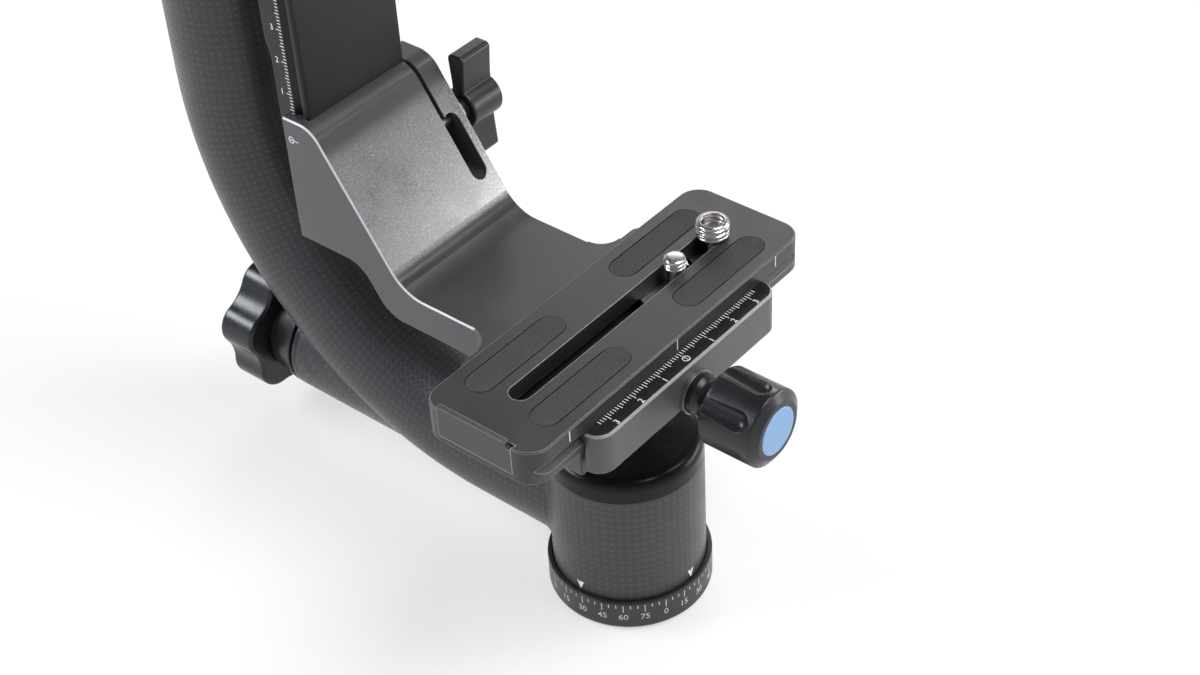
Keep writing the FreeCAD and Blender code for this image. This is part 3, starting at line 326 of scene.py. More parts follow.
grainRelief = 0.0001      # bump distance of blasted and turned surfaces, metres
lookingUp = (0.9, 0.98)      # how far a normal leans up, from not polished to polished and painted darker
filmWearAndGlint = {"patch": 0.014, "smudge": 0.35, "dust": 0.12, "dustColour": grey(0.2), "streakRough": 0.06,
            "polish": 0.8, "chamferFrom": (0.5, 0.6), "chamferTo": (0.88, 0.8)}

# a point on each turning axis, in metres, and its direction
panAxis = ((0, 0, 0), (0, 0, 1))
panLockAxis = ((0, 0, 0.0294), (1, 0, 0))
clampAxis = ((0, 0, 0.0823), (1, 0, 0))
tiltAxis = ((0, 0, 0.208), (1, 0, 0))


def turnedAbout(axis, pitch, depth):
    return {"centre": axis[0], "axis": axis[1], "pitch": pitch, "depth": depth}


# Anodised aluminium: dyed film over a blasted or turned surface, paler at the edges, partly bare metal where
# they are broken and partly a painted edge highlight.
def anodised(name, look):
    finish, tree, shader, place = startFinish(name, look)
    vector = place["Object"]
    grain = useGroup(tree, blastedGrain, Vector=vector, Size=look["grain"])
    touch = useGroup(tree, handling, Vector=vector, Size=filmWearAndGlint["patch"])
    edge = useGroup(tree, edgeWearAndGlint, Width=look["edgeWidth"])
    tint = mixTint(tree, grain["Shade"], look["colour"], look["grainColour"])
    tint = mixTint(tree, times(tree, touch["Smudge"], filmWearAndGlint["smudge"]), tint, look["worn"])
    dust = times(tree, touch["Dust"], look.get("dust", filmWearAndGlint["dust"]))
    tint = mixTint(tree, dust, tint, filmWearAndGlint["dustColour"])
    # painted edge highlight, partly broken film: edges mixed towards the pale edge colour
    tint = mixTint(tree, times(tree, edge["Mask"], look["edge"]), tint, look["edgeColour"])
    height = times(tree, grain["Height"], look["grainDepth"])
    rough = rise(tree, touch["Smudge"], 0.0, 1.0, *look["rough"])
    if "turned" in look:
        turned = look["turned"]
        cut = useGroup(tree, turnedLines, Vector=vector, Centre=turned["centre"], Axis=turned["axis"],
                       Pitch=turned["pitch"])
        height = plus(tree, height, times(tree, cut["Height"], turned["depth"]))
        rough = plus(tree, rough, times(tree, cut["Streak"], filmWearAndGlint["streakRough"]))
    if "topShadeAndGloss" in look:      # faces that look up are polished and painted darker than the sides, a painted shade against the sides' painted reflection; their chamfers are painted bright, a painted highlight
        shadedTop = look["topShadeAndGloss"]
        lean = axesOf(tree, place["Normal"])[2]
        up = rise(tree, lean, *lookingUp)
        rough = minus(tree, rough, times(tree, up, shadedTop["rough"]))
        height = times(tree, height, minus(tree, 1.0, times(tree, up, filmWearAndGlint["polish"])))
        tint = mixTint(tree, up, tint, shadedTop["colour"])
        chamfer = times(tree, rise(tree, lean, *filmWearAndGlint["chamferFrom"]),
                        rise(tree, lean, *filmWearAndGlint["chamferTo"]))
        tint = mixTint(tree, chamfer, tint, shadedTop["chamfer"])
    fillShader(tree, shader, tint, rough, bump(tree, height, grainRelief, 1.0, edge["Normal"]))
    return finish


satinPlate = anodised("satinPlate", {
    "colour": grey(0.040), "grainColour": grey(0.052), "worn": grey(0.060),
    "grain": 0.00016, "grainDepth": 0.35, "rough": (0.36, 0.46),
    "edgeWidth": 0.00035, "edge": 0.75, "edgeColour": grey(0.32),
    "shader": {"Metallic": 0.15, "Specular IOR Level": 0.5}})
satinRail = anodised("satinRail", {
    "colour": grey(0.008), "grainColour": grey(0.012), "worn": grey(0.013),
    "grain": 0.00018, "grainDepth": 0.3, "rough": (0.34, 0.42),
    "edgeWidth": 0.0003, "edge": 0.5, "edgeColour": grey(0.3),
    "shader": {"Specular IOR Level": 0.3}})
jawFinish = anodised("jawFinish", {
    "colour": grey(0.070), "grainColour": grey(0.088), "worn": grey(0.09),
    "grain": 0.00016, "grainDepth": 0.3, "rough": (0.30, 0.38),
    "edgeWidth": 0.0003, "edge": 0.9, "edgeColour": grey(0.8),
    "topShadeAndGloss": {"rough": 0.16, "colour": grey(0.016), "chamfer": grey(0.28)},
    "shader": {"Metallic": 0.15}})
ringFinish = anodised("ringFinish", {
    "colour": grey(0.016), "grainColour": grey(0.024), "worn": grey(0.026),
    "grain": 0.0002, "grainDepth": 0.2, "rough": (0.30, 0.38),
    "edgeWidth": 0.0004, "edge": 0.3, "edgeColour": grey(0.2),
    "turned": turnedAbout(panAxis, 0.00014, 0.25)})
capFinish = anodised("capFinish", {
    "colour": grey(0.006), "grainColour": grey(0.009), "worn": grey(0.010),
    "grain": 0.0002, "grainDepth": 0.03, "rough": (0.20, 0.26), "dust": 0.0,
    "edgeWidth": 0.0003, "edge": 0.2, "edgeColour": grey(0.12),
    "turned": turnedAbout(panAxis, 0.00014, 0.06),
    "shader": {"Specular IOR Level": 0.18}})


def turnedGloss(name, axis):
    return anodised(name, {
        "colour": grey(0.010, 1.1), "grainColour": grey(0.014, 1.1), "worn": grey(0.017, 1.08),
        "grain": 0.0002, "grainDepth": 0.08, "rough": (0.20, 0.27), "dust": 0.03,
        "edgeWidth": 0.0004, "edge": 0.25, "edgeColour": grey(0.16),
        "turned": turnedAbout(axis, 0.00016, 0.05),
        "shader": {"Specular IOR Level": 0.45}})


panKnobFinish = turnedGloss("panKnobFinish", panLockAxis)
tiltKnobFinish = turnedGloss("tiltKnobFinish", tiltAxis)
clampKnobFinish = anodised("clampKnobFinish", {
    "colour": grey(0.006, 1.15), "grainColour": grey(0.011, 1.2), "worn": grey(0.011, 1.1),
    "grain": 0.00022, "grainDepth": 0.2, "rough": (0.22, 0.30), "dust": 0.03,
    "edgeWidth": 0.0005, "edge": 0.3, "edgeColour": grey(0.10, 1.05),
    "turned": turnedAbout(clampAxis, 0.00018, 0.05),
    "shader": {"Specular IOR Level": 0.45}})
wingFinish = anodised("wingFinish", {
    "colour": grey(0.010), "grainColour": grey(0.015), "worn": grey(0.016),
    "grain": 0.00025, "grainDepth": 0.3, "rough": (0.28, 0.36),
    "edgeWidth": 0.0006, "edge": 0.3, "edgeColour": grey(0.12),
    "shader": {"Specular IOR Level": 0.45}})
discFinish = anodised("discFinish", {
    "colour": (0.20, 0.36, 0.60, 1), "grainColour": (0.24, 0.40, 0.64, 1), "worn": (0.25, 0.40, 0.62, 1),
    "grain": 0.0001, "grainDepth": 0.15, "rough": (0.30, 0.36),
    "edgeWidth": 0.0004, "edge": 0.7, "edgeColour": (0.66, 0.80, 0.93, 1),
    "turned": turnedAbout(clampAxis, 0.00009, 0.2),
    "shader": {"Metallic": 0.35}})


# The bracket's slope keeps a coarse blast and is painted far lighter and more metallic, with painted glints,
# for the light it catches; its rounded ends, sides and foot are smooth satin, the side faces painted lighter as
# a painted reflection and their edges and chamfers painted bright as a painted highlight.
def makeBracketFinish(look):
    finish, tree, shader, place = startFinish("bracketFinish", look)
    vector = place["Object"]
    facing = vectorCalc(tree, "DOT_PRODUCT", place["Normal"], look["slopeNormal"])
    y, z = axesOf(tree, vector)[1:]
    slope = times(tree, rise(tree, facing, 0.985, 0.998), rise(tree, z, *look["slopeTop"]))
    downhill = plus(tree, vectorCalc(tree, "DOT_PRODUCT", vector, look["downhill"]), look["middle"])
    crown = plus(tree, times(tree, times(tree, downhill, downhill), look["crown"][0]),
                 times(tree, times(tree, y, y), look["crown"][1]))
    crown = times(tree, crown, rise(tree, facing, 0.9, 0.99))
    sideways = distance(tree, axesOf(tree, place["Normal"])[1])
    chamfer = times(tree, rise(tree, sideways, 0.45, 0.55), rise(tree, sideways, 0.95, 0.85))
    nearSide = calc(tree, "COMPARE", distance(tree, y), look["chamferAt"], look["chamferReach"])
    chamfer = times(tree, chamfer, nearSide)
    side = rise(tree, sideways, 0.9, 0.98)
    fine = useGroup(tree, blastedGrain, Vector=vector, Size=look["grain"])
    coarse = useGroup(tree, blastedGrain, Vector=vector, Size=look["sparkSize"])
    touch = useGroup(tree, handling, Vector=vector, Size=look["patch"])
    edge = useGroup(tree, edgeWearAndGlint, Width=look["edgeWidth"])
    tint = mixTint(tree, fine["Shade"], look["colour"], look["grainColour"])
    tint = mixTint(tree, times(tree, touch["Smudge"], 0.3), tint, look["worn"])
    # painted light on the slope: lighter tones and painted glints in place of the same dark satin
    spark = mixTint(tree, coarse["Shade"], look["slopeDark"], look["slopeLight"])
    spark = mixTint(tree, coarse["Sparkle"], spark, look["spark"])
    tint = mixTint(tree, slope, tint, spark)
    # painted reflection: side faces painted lighter than the rest
    tint = mixTint(tree, times(tree, side, 0.9), tint, look["side"])
    # painted highlight on the side edges and chamfers
    bright = calc(tree, "MAXIMUM", times(tree, edge["Mask"], side), chamfer)
    tint = mixTint(tree, bright, tint, look["edgeColour"])
    rough = rise(tree, touch["Smudge"], 0.0, 1.0, *look["rough"])
    sparkRough = rise(tree, coarse["Height"], 0.2, 0.8, *look["sparkRough"])
    rough = plus(tree, rough, times(tree, slope, sparkRough))
    height = times(tree, fine["Height"], rise(tree, slope, 0.0, 1.0, look["grainDepth"], look["sparkDepth"]))
    crowned = bump(tree, crown, 1.0, 1.0, edge["Normal"])
    wire(tree, times(tree, slope, look["slopeMetal"]), shader.inputs["Metallic"])
    fillShader(tree, shader, tint, rough, bump(tree, height, grainRelief, 1.0, crowned))
    return finish


slopeLean = math.radians(56.3)
bracketFinish = makeBracketFinish({
    "slopeNormal": (math.sin(slopeLean), 0, math.cos(slopeLean)), "slopeTop": (0.130, 0.125),
    "downhill": (0.5548, 0, -0.8320), "middle": 0.1356,
    "crown": (-1.3, -0.35),      # along and across the slope
    "chamferAt": 0.02365, "chamferReach": 0.0005,
    "colour": grey(0.036), "grainColour": grey(0.048), "worn": grey(0.046), "side": grey(0.080),
    "grain": 0.00016, "grainDepth": 0.3, "patch": 0.016, "rough": (0.28, 0.36),
    "edgeWidth": 0.0003, "edgeColour": grey(0.6),
    "slopeDark": grey(0.14), "slopeLight": grey(0.24), "spark": grey(0.33), "slopeMetal": 0.85,
    "sparkSize": 0.00021, "sparkDepth": 0.05, "sparkRough": (-0.05, 0.02),
    "shader": {"Specular IOR Level": 0.4}})


def makePlateFinish(look):
    finish, tree, shader, place = startFinish("plateFinish", look)
    vector = place["Object"]
    x, y, z = axesOf(tree, vector)
    outward = rise(tree, distance(tree, axesOf(tree, place["Normal"])[0]), 0.5, 0.8)
    flange = times(tree, outward, rise(tree, z, *look["flangeTop"]))
    fine = useGroup(tree, blastedGrain, Vector=vector, Size=look["grain"])
    gravel = useGroup(tree, blastedGrain, Vector=vector, Size=look["gravelSize"])
    touch = useGroup(tree, handling, Vector=vector, Size=look["patch"])
    edge = useGroup(tree, edgeWearAndGlint, Width=look["edgeWidth"])
    tint = mixTint(tree, fine["Shade"], look["colour"], look["grainColour"])
    tint = mixTint(tree, times(tree, touch["Smudge"], 0.35), tint, look["worn"])
    tint = mixTint(tree, times(tree, flange, gravel["Shade"]), tint, look["gravelLight"])
    pad = look["pad"]      # distance from the middle line of the nearest pad
    alongPad = minus(tree, distance(tree, minus(tree, y, pad["middle"])), pad["away"])
    alongPad = calc(tree, "MAXIMUM", minus(tree, distance(tree, alongPad), pad["straight"]), 0.0)
    acrossPad = minus(tree, distance(tree, x), pad["side"])
    fromPad = vectorCalc(tree, "LENGTH", joinAxes(tree, acrossPad, alongPad))
    outside = rise(tree, fromPad, pad["radius"] + 0.0004, pad["radius"] + 0.0006)
    # painted shade: a near-black ring in the recess round each pad
    paintedRecessShade = rise(tree, fromPad, pad["radius"] + 0.00012, pad["radius"] + 0.00002)
    tint = mixTint(tree, paintedRecessShade, tint, look["paintedRecessShade"])
    # painted edge highlight, partly broken film, kept off the pad recesses
    bright = times(tree, times(tree, edge["Mask"], outside), 0.9)
    tint = mixTint(tree, bright, tint, look["edgeColour"])
    height = plus(tree, times(tree, fine["Height"], look["grainDepth"]), times(tree, gravel["Height"], flange))
    rough = rise(tree, touch["Smudge"], 0.0, 1.0, *look["rough"])
    fillShader(tree, shader, tint, rough, bump(tree, height, grainRelief, 1.0, edge["Normal"]))
    return finish


plateFinish = makePlateFinish({
    "colour": grey(0.018), "grainColour": grey(0.026), "worn": grey(0.028), "paintedRecessShade": grey(0.001),
    "grain": 0.00015, "grainDepth": 0.3, "patch": 0.018, "rough": (0.34, 0.44),
    "edgeWidth": 0.0003, "edgeColour": grey(0.7),
    "gravelLight": grey(0.07), "gravelSize": 0.0004, "flangeTop": (0.0905, 0.0901),
    "pad": {"middle": 0.0008, "away": 0.0295, "straight": 0.0137, "side": 0.01095, "radius": 0.0043},
    "shader": {"Specular IOR Level": 0.5}})


def makeCarbonFinish(look):
    finish, tree, shader, place = startFinish("carbonFinish", look)
    vector = place["Object"]
    weave = useGroup(tree, carbonWeave, Vector=vector, **look["run"])
    touch = useGroup(tree, handling, Vector=vector, Size=look["patch"])
    tint = mixTint(tree, weave["Fibre"], look["resin"], look["fibre"])
    # painted sheen: warp tows painted lighter than weft tows of the same fibre
    tint = mixTint(tree, times(tree, weave["Warp"], look["warpSheenShare"]), tint, look["warp"])
    tint = mixTint(tree, times(tree, weave["Gap"], 0.35), tint, look["gap"])
    rough = rise(tree, touch["Smudge"], 0.0, 1.0, *look["rough"])
    rough = plus(tree, rough, times(tree, weave["Warp"], look["warpRough"]))
    fillShader(tree, shader, tint, rough, bump(tree, weave["Height"], look["relief"]))
    return finish


carbonFinish = makeCarbonFinish({
    "resin": (0.021, 0.020, 0.022, 1), "fibre": (0.031, 0.030, 0.032, 1), "gap": grey(0.018),
    "warp": (0.056, 0.054, 0.058, 1), "warpSheenShare": 0.7, "warpRough": -0.05,
    "rough": (0.36, 0.44), "patch": 0.02, "relief": 0.00004,
    "run": {"Bend X": -0.0441, "Bend Z": 0.125, "Bend Radius": 0.0956, "Tube Radius": 0.0183,
            "Drum Radius": 0.02235, "Drum Top": 0.0485, "Housing X": -0.1205, "Housing Z": 0.208,
            "Tow": 0.00163},
    "shader": {"Coat Weight": 0.1, "Coat Roughness": 0.3, "Specular IOR Level": 0.5}})


metalWearAndGlint = {"patch": 0.006, "edgeWidth": 0.0002, "edge": 0.5, "streakRough": 0.08, "grainDepth": 0.15,
             "relief": 0.00005}


def bareMetal(name, look):
    finish, tree, shader, place = startFinish(name, look)
    vector = place["Object"]
    grain = useGroup(tree, blastedGrain, Vector=vector, Size=look["grain"])
    touch = useGroup(tree, handling, Vector=vector, Size=metalWearAndGlint["patch"])
    lathe = useGroup(tree, turnedLines, Vector=vector, **look["turned"])
    edge = useGroup(tree, edgeWearAndGlint, Width=metalWearAndGlint["edgeWidth"])
    tint = mixTint(tree, touch["Smudge"], look["colour"], look["stain"])
    # paler edges: partly worn metal, partly a painted edge highlight
    tint = mixTint(tree, times(tree, edge["Mask"], metalWearAndGlint["edge"]), tint, look["edgeColour"])
    rough = rise(tree, touch["Smudge"], 0.0, 1.0, *look["rough"])
    rough = plus(tree, rough, times(tree, lathe["Streak"], metalWearAndGlint["streakRough"]))
    height = times(tree, lathe["Height"], look["lines"])
    height = plus(tree, times(tree, grain["Height"], metalWearAndGlint["grainDepth"]), height)
    fillShader(tree, shader, tint, rough, bump(tree, height, metalWearAndGlint["relief"], 1.0, edge["Normal"]))
    return finish


def metalLook(level, warm, rough, lines, centre=(0, 0, 0), axis=(0, 0, 1)):
    return {"colour": (level, level * warm, level * warm * warm, 1),
            "stain": (level * 0.8, level * 0.8 * warm, level * 0.78 * warm, 1),
            "edgeColour": grey(min(level * 1.4, 0.95)), "rough": rough, "grain": 0.0001, "lines": lines,
            "turned": {"Centre": centre, "Axis": axis, "Pitch": 0.00012}, "shader": {"Metallic": 1.0}}


nickelFinish = bareMetal("nickelFinish", metalLook(0.64, 0.955, (0.16, 0.26), 0.2, (0, 0.042, 0)))
steelAcross = bareMetal("steelAcross", metalLook(0.30, 0.99, (0.32, 0.42), 0.4, *clampAxis))
steelUpright = bareMetal("steelUpright", metalLook(0.30, 0.99, (0.32, 0.42), 0.4))
steelTilt = bareMetal("steelTilt", metalLook(0.30, 0.99, (0.32, 0.42), 0.4, *tiltAxis))
greyWasher = bareMetal("greyWasher", metalLook(0.42, 0.98, (0.34, 0.44), 0.3, (0, 0.0248, 0)))
ballSteel = bareMetal("ballSteel", metalLook(0.62, 0.99, (0.10, 0.18), 0.1))
ballSteelTilt = bareMetal("ballSteelTilt", metalLook(0.62, 0.99, (0.10, 0.18), 0.1, *tiltAxis))
linerFinish = bareMetal("linerFinish", metalLook(0.72, 0.99, (0.30, 0.40), 0.5))
linerFinishTilt = bareMetal("linerFinishTilt", metalLook(0.72, 0.99, (0.30, 0.40), 0.5, *tiltAxis))


def moulded(name, look):
    finish, tree, shader, place = startFinish(name, look)
    vector = place["Object"]
    grain = useGroup(tree, blastedGrain, Vector=vector, Size=look["grain"])
    touch = useGroup(tree, handling, Vector=vector, Size=0.01)
    tint = mixTint(tree, grain["Shade"], look["colour"], look["pale"])
    tint = mixTint(tree, times(tree, touch["Smudge"], 0.3), tint, look["worn"])
    if "pits" in look:      # painted shade: the pits' hollows are painted darker by height
        low, high, shade = look["pits"]
        tint = mixTint(tree, rise(tree, axesOf(tree, vector)[2], high, low), tint, shade)
    rough = rise(tree, touch["Smudge"], 0.0, 1.0, *look["rough"])
    fillShader(tree, shader, tint, rough, bump(tree, grain["Height"], look["depth"]))
    return finish


padRubber = moulded("padRubber", {
    "colour": grey(0.024, 1.08), "pale": grey(0.034, 1.08), "worn": grey(0.034),
    "pits": (0.09672, 0.09694, grey(0.003)), "grain": 0.00012, "rough": (0.42, 0.52), "depth": 0.00001})
cagePolymer = moulded("cagePolymer", {
    "colour": (0.30, 0.22, 0.10, 1), "pale": (0.36, 0.27, 0.13, 1), "worn": (0.4, 0.3, 0.16, 1),
    "grain": 0.0003, "rough": (0.45, 0.55), "depth": 0.00002})


def paintFilm(name, level, pale, worn):
    return moulded(name, {"colour": grey(level), "pale": grey(pale), "worn": grey(worn),
                          "grain": 0.0001, "rough": (0.5, 0.6), "depth": 0.000005})


whitePaint = paintFilm("whitePaint", 0.78, 0.86, 0.70)
softPaint = paintFilm("softPaint", 0.50, 0.58, 0.42)

finishOf = {
    carbonFinish: ["arm_shell"],
    ringFinish: ["scale_ring"],
    capFinish: ["drum_cap"],
    panKnobFinish: ["pan_lock_knob", "lock_insert"],
    tiltKnobFinish: ["tilt_lock_knob", "tilt_end_cap", "swing_hub"],
    satinRail: ["swing_rail"],
    bracketFinish: ["cradle_bracket"],
    jawFinish: ["moving_jaw"],
    clampKnobFinish: ["clamp_knob"],
    wingFinish: ["wing_knob"],
    discFinish: ["clamp_knob_disc"],
    plateFinish: ["camera_plate"],
    satinPlate: ["end_stop"],
    padRubber: ["grip_pads"],
    nickelFinish: ["quarter_camera_screw", "large_camera_screw", "thread_adapter"],
    greyWasher: ["quarter_screw_washer", "large_screw_washer"],
    steelAcross: ["clamp_screw", "clamp_washer", "guide_pins", "wing_screw", "wing_washer", "pan_lock_rod"],
    steelUpright: ["base_screws", "thread_bush", "pan_spindle", "pan_brake_sleeve", "pan_washer", "pan_nut",
                   "safety_screws"],
    steelTilt: ["hub_screws", "tilt_spindle", "tilt_sleeve", "tilt_washer", "tilt_nut", "tilt_lock_screw",
                "rail_bolts", "rail_stop_screws"],
    ballSteel: ["pan_inner_races", "pan_outer_races", "pan_bearing_balls"],
    ballSteelTilt: ["tilt_inner_races", "tilt_outer_races", "tilt_bearing_balls"],
    linerFinish: ["drum_liner"],
    linerFinishTilt: ["tilt_liner"],
    cagePolymer: ["pan_bearing_cages", "tilt_bearing_cages", "pan_brake_shoe", "tilt_brake_pad"],
}
for finish, names in finishOf.items():
    for name in names:
        mesh = parts[name].data
        mesh.materials.clear()
        mesh.materials.append(finish)
print("finishes given to", sum(len(names) for names in finishOf.values()), "of", len(parts), "nodes")


def newPiece(name, bm, finish, body, smooth=True):
    bmesh.ops.recalc_face_normals(bm, faces=bm.faces)
    mesh = bpy.data.meshes.new(name)
    bm.to_mesh(mesh)
    bm.free()
    for face in mesh.polygons:
        face.use_smooth = smooth
    mesh.materials.append(finish)
    piece = bpy.data.objects.new(name, mesh)
    bpy.context.scene.collection.objects.link(piece)
    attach(piece, body)
    return piece


# Painted marks: flat strokes in millimetres on an unrolled face, raised by a film of paint.
paint = {"proud": 0.02, "sunk": 0.02, "bolder": 0.006, "weld": 0.0005}


def strokeBox(bm, left, low, right, high):
    flat = ((left, low), (right, low), (right, high), (left, high))
    corners = [bm.verts.new((x, y, h)) for h in (-1, 1) for x, y in flat]
    for face in ((0, 1, 2, 3), (4, 5, 6, 7), (0, 1, 5, 4), (1, 2, 6, 5), (2, 3, 7, 6), (3, 0, 4, 7)):
        bm.faces.new([corners[i] for i in face])


def strokeRing(bm, x, y, radius, width, steps=28):
    inner, outer = radius - width / 2, radius + width / 2
    rings = []
    for k in range(steps):
        turn = 2 * math.pi * k / steps
        rings.append([bm.verts.new((x + r * math.cos(turn), y + r * math.sin(turn), h))
                      for r, h in ((inner, -1), (outer, -1), (outer, 1), (inner, 1))])
    for k in range(steps):
        here, there = rings[k], rings[(k + 1) % steps]
        for i in range(4):
            j = (i + 1) % 4
            bm.faces.new((here[i], here[j], there[j], there[i]))


def strokeTriangle(bm, x, top, width, height):
    flat = ((x - width / 2, top), (x + width / 2, top), (x, top - height))
    low = [bm.verts.new((*p, -1)) for p in flat]
    high = [bm.verts.new((*p, 1)) for p in flat]
    bm.faces.new(low)
    bm.faces.new(high)
    for i in range(3):
        j = (i + 1) % 3
        bm.faces.new((low[i], low[j], high[j], high[i]))


def digitOutline(words):
    curve = bpy.data.curves.new("digits", "FONT")
    curve.body = words
    curve.extrude = 1.0
    curve.offset = paint["bolder"]
    curve.resolution_u = 4
    holder = bpy.data.objects.new("digits", curve)
    bpy.context.scene.collection.objects.link(holder)
    ready = holder.evaluated_get(bpy.context.evaluated_depsgraph_get())
    mesh = bpy.data.meshes.new_from_object(ready)
    bpy.data.objects.remove(holder)
    bpy.data.curves.remove(curve)
    return mesh


outlines = {}


def strokeDigits(bm, words, x, y, height):
    if words not in outlines:
        outlines[words] = digitOutline(words)
    mesh = outlines[words]
    spread = [v.co.x for v in mesh.vertices]
    stand = [v.co.y for v in mesh.vertices]
    midX = (max(spread) + min(spread)) / 2
    midY = (max(stand) + min(stand)) / 2
    size = height / (max(stand) - min(stand))
    made = [bm.verts.new((x + (v.co.x - midX) * size, y + (v.co.y - midY) * size, v.co.z))
            for v in mesh.vertices]
    for face in mesh.polygons:
        bm.faces.new([made[i] for i in face.vertices])


def tickEnd(tick, look):      # every fifth and tenth tick is longer
    return look["long"] if tick % 10 == 0 else look["middle"] if tick % 5 == 0 else look["short"]


def wrapped(radius):      # marks laid round an upright cylinder
    def place(u, v, h):
        turn = u / radius
        return ((radius + h) * math.cos(turn), (radius + h) * math.sin(turn), v)
    return place


def paintedMarks(name, body, place, finish, draw):
    bm = bmesh.new()
    draw(bm)
    bmesh.ops.remove_doubles(bm, verts=bm.verts, dist=paint["weld"])
    for vert in bm.verts:
        u, v, h = vert.co
        vert.co = Vector(place(u, v, paint["proud"] if h > 0 else -paint["sunk"])) * mm
    newPiece(name, bm, finish, body, smooth=False)


ringScale = {"radius": 24.0, "top": 9.5, "short": 1.25, "long": 2.7, "line": 0.3, "digits": 2.1,
             "digitsAt": 4.9, "zeroAt": -26.2}


def drawRingScale(bm):
    step = math.radians(1) * ringScale["radius"]
    half, top = ringScale["line"] / 2, ringScale["top"]
    for value in range(0, 360, 5):
        at = (value + ringScale["zeroAt"]) * step
        length = ringScale["long"] if value % 15 == 0 else ringScale["short"]
        strokeBox(bm, at - half, top - length, at + half, top)
        if value % 15 == 0:
            strokeDigits(bm, str(value % 90), at, ringScale["digitsAt"], ringScale["digits"])


paintedMarks("ringScaleMarks", "base", wrapped(ringScale["radius"]), softPaint, drawRingScale)

drumMarks = {"radius": 22.35, "top": 13.5, "width": 2.5, "height": 3.0, "at": (-90, 0)}


def drawDrumMarks(bm):
    for turn in drumMarks["at"]:
        at = math.radians(turn) * drumMarks["radius"]
        strokeTriangle(bm, at, drumMarks["top"], drumMarks["width"], drumMarks["height"])


paintedMarks("drumPointers", "arm", wrapped(drumMarks["radius"]), whitePaint, drawDrumMarks)

jawScale = {"top": 92.2, "start": 19.55, "short": 20.85, "middle": 21.4, "long": 21.85, "zero": 21.1,
            "line": 0.24, "digits": 1.85, "digitsAt": 23.4, "count": 33, "zeroRing": (22.6, 1.0, 0.28)}


def drawJawScale(bm):      # u along +Y, v towards -X
    half = jawScale["line"] / 2
    for tick in range(-jawScale["count"], jawScale["count"] + 1):
        end = tickEnd(tick, jawScale) if tick else jawScale["zero"]
        strokeBox(bm, tick - half, -end, tick + half, -jawScale["start"])
        if tick and tick % 10 == 0:
            strokeDigits(bm, str(abs(tick) // 10), tick, -jawScale["digitsAt"], jawScale["digits"])
    x, radius, width = jawScale["zeroRing"]
    reach = radius - width / 2 - 0.1
    strokeRing(bm, 0, -x, radius, width)
    strokeBox(bm, -half, -x - reach, half, -x + reach)


def onJaw(u, v, h):
    return (-v, u, jawScale["top"] + h)


paintedMarks("jawScaleMarks", "jaw", onJaw, whitePaint, drawJawScale)

railScale = {"face": -21.0, "zero": 131.45, "count": 90, "short": -94.15, "middle": -94.6, "long": -95.0,
             "end": -93.05, "line": 0.26, "digits": 1.8, "digitsAt": -96.7}


def drawRailScale(bm):
    half = railScale["line"] / 2
    for tick in range(railScale["count"] + 1):
        z = railScale["zero"] + tick
        strokeBox(bm, tickEnd(tick, railScale), z - half, railScale["end"], z + half)
        if tick % 10 == 0:
            strokeDigits(bm, str(tick // 10), railScale["digitsAt"], z + 0.1, railScale["digits"])


def onRail(u, v, h):
    return (u, railScale["face"] - h, v)


paintedMarks("railScaleMarks", "swing", onRail, whitePaint, drawRailScale)

indexMark = {"face": -24.05, "ring": (-92.5, 129.0, 0.95, 0.28), "lineEnd": -89.8, "line": 0.26}


def drawIndexMark(bm):
    x, z, radius, width = indexMark["ring"]
    half = indexMark["line"] / 2
    reach = radius - width / 2 - 0.1
    strokeRing(bm, x, z, radius, width)
    strokeBox(bm, x - reach, z - half, x + reach, z + half)
    strokeBox(bm, x + radius + width / 2 + 0.15, z - half, indexMark["lineEnd"], z + half)


def onCradle(u, v, h):
    return (u, indexMark["face"] - h, v)


paintedMarks("cradleIndexMark", "cradle", onCradle, whitePaint, drawIndexMark)

plateMarks = {"face": 19.2, "at": (-43.3, 0.8, 44.9), "low": 92.9, "high": 96.4, "line": 0.3}


def drawPlateMarks(bm):
    half = plateMarks["line"] / 2
    for at in plateMarks["at"]:
        strokeBox(bm, at - half, plateMarks["low"], at + half, plateMarks["high"])


def onPlate(u, v, h):
    return (plateMarks["face"] + h, u, v)


paintedMarks("plateSideMarks", "plate", onPlate, whitePaint, drawPlateMarks)
print("scales painted on ring, drum, jaw, rail, cradle and plate")


# joins neighbouring rings of vertices with faces
def joinRings(bm, rings):
    for low, high in zip(rings, rings[1:]):
        for k in range(len(low)):
            j = (k + 1) % len(low)
            bm.faces.new((low[k], low[j], high[j], high[k]))


# Camera screws: real helical threads on turned bodies, all in millimetres.
threadForm = {"flank": 0.38, "fadeIn": 0.5, "fadeOut": 0.35, "runOut": 0.25, "rowsPerPitch": 12}


def upTo(value):      # value kept between 0 and 1
    return min(max(value, 0.0), 1.0)


def threadRadius(major, depth, pitch, z, turn, low, high):
    along = (z / pitch - turn / (2 * math.pi)) % 1.0
    crest = upTo((0.5 - abs(along - 0.5)) / threadForm["flank"])      # 0 at the root, 1 on the crest
    fade = upTo((z - low) / (pitch * threadForm["fadeIn"])) * upTo((high - z) / (pitch * threadForm["fadeOut"]))
    return major - depth * (1 - crest) * fade - threadForm["runOut"] * depth * (1 - fade)


def turnedSkin(bm, rows, centre, steps=72):
    rings = []
    for radius, z in rows:
        ring = []
        for k in range(steps):
            turn = 2 * math.pi * k / steps
            r = radius(turn) if callable(radius) else radius
            x, y = centre[0] + r * math.cos(turn), centre[1] + r * math.sin(turn)
            ring.append(bm.verts.new((x * mm, y * mm, z * mm)))
        rings.append(ring)
    joinRings(bm, rings)
    return rings


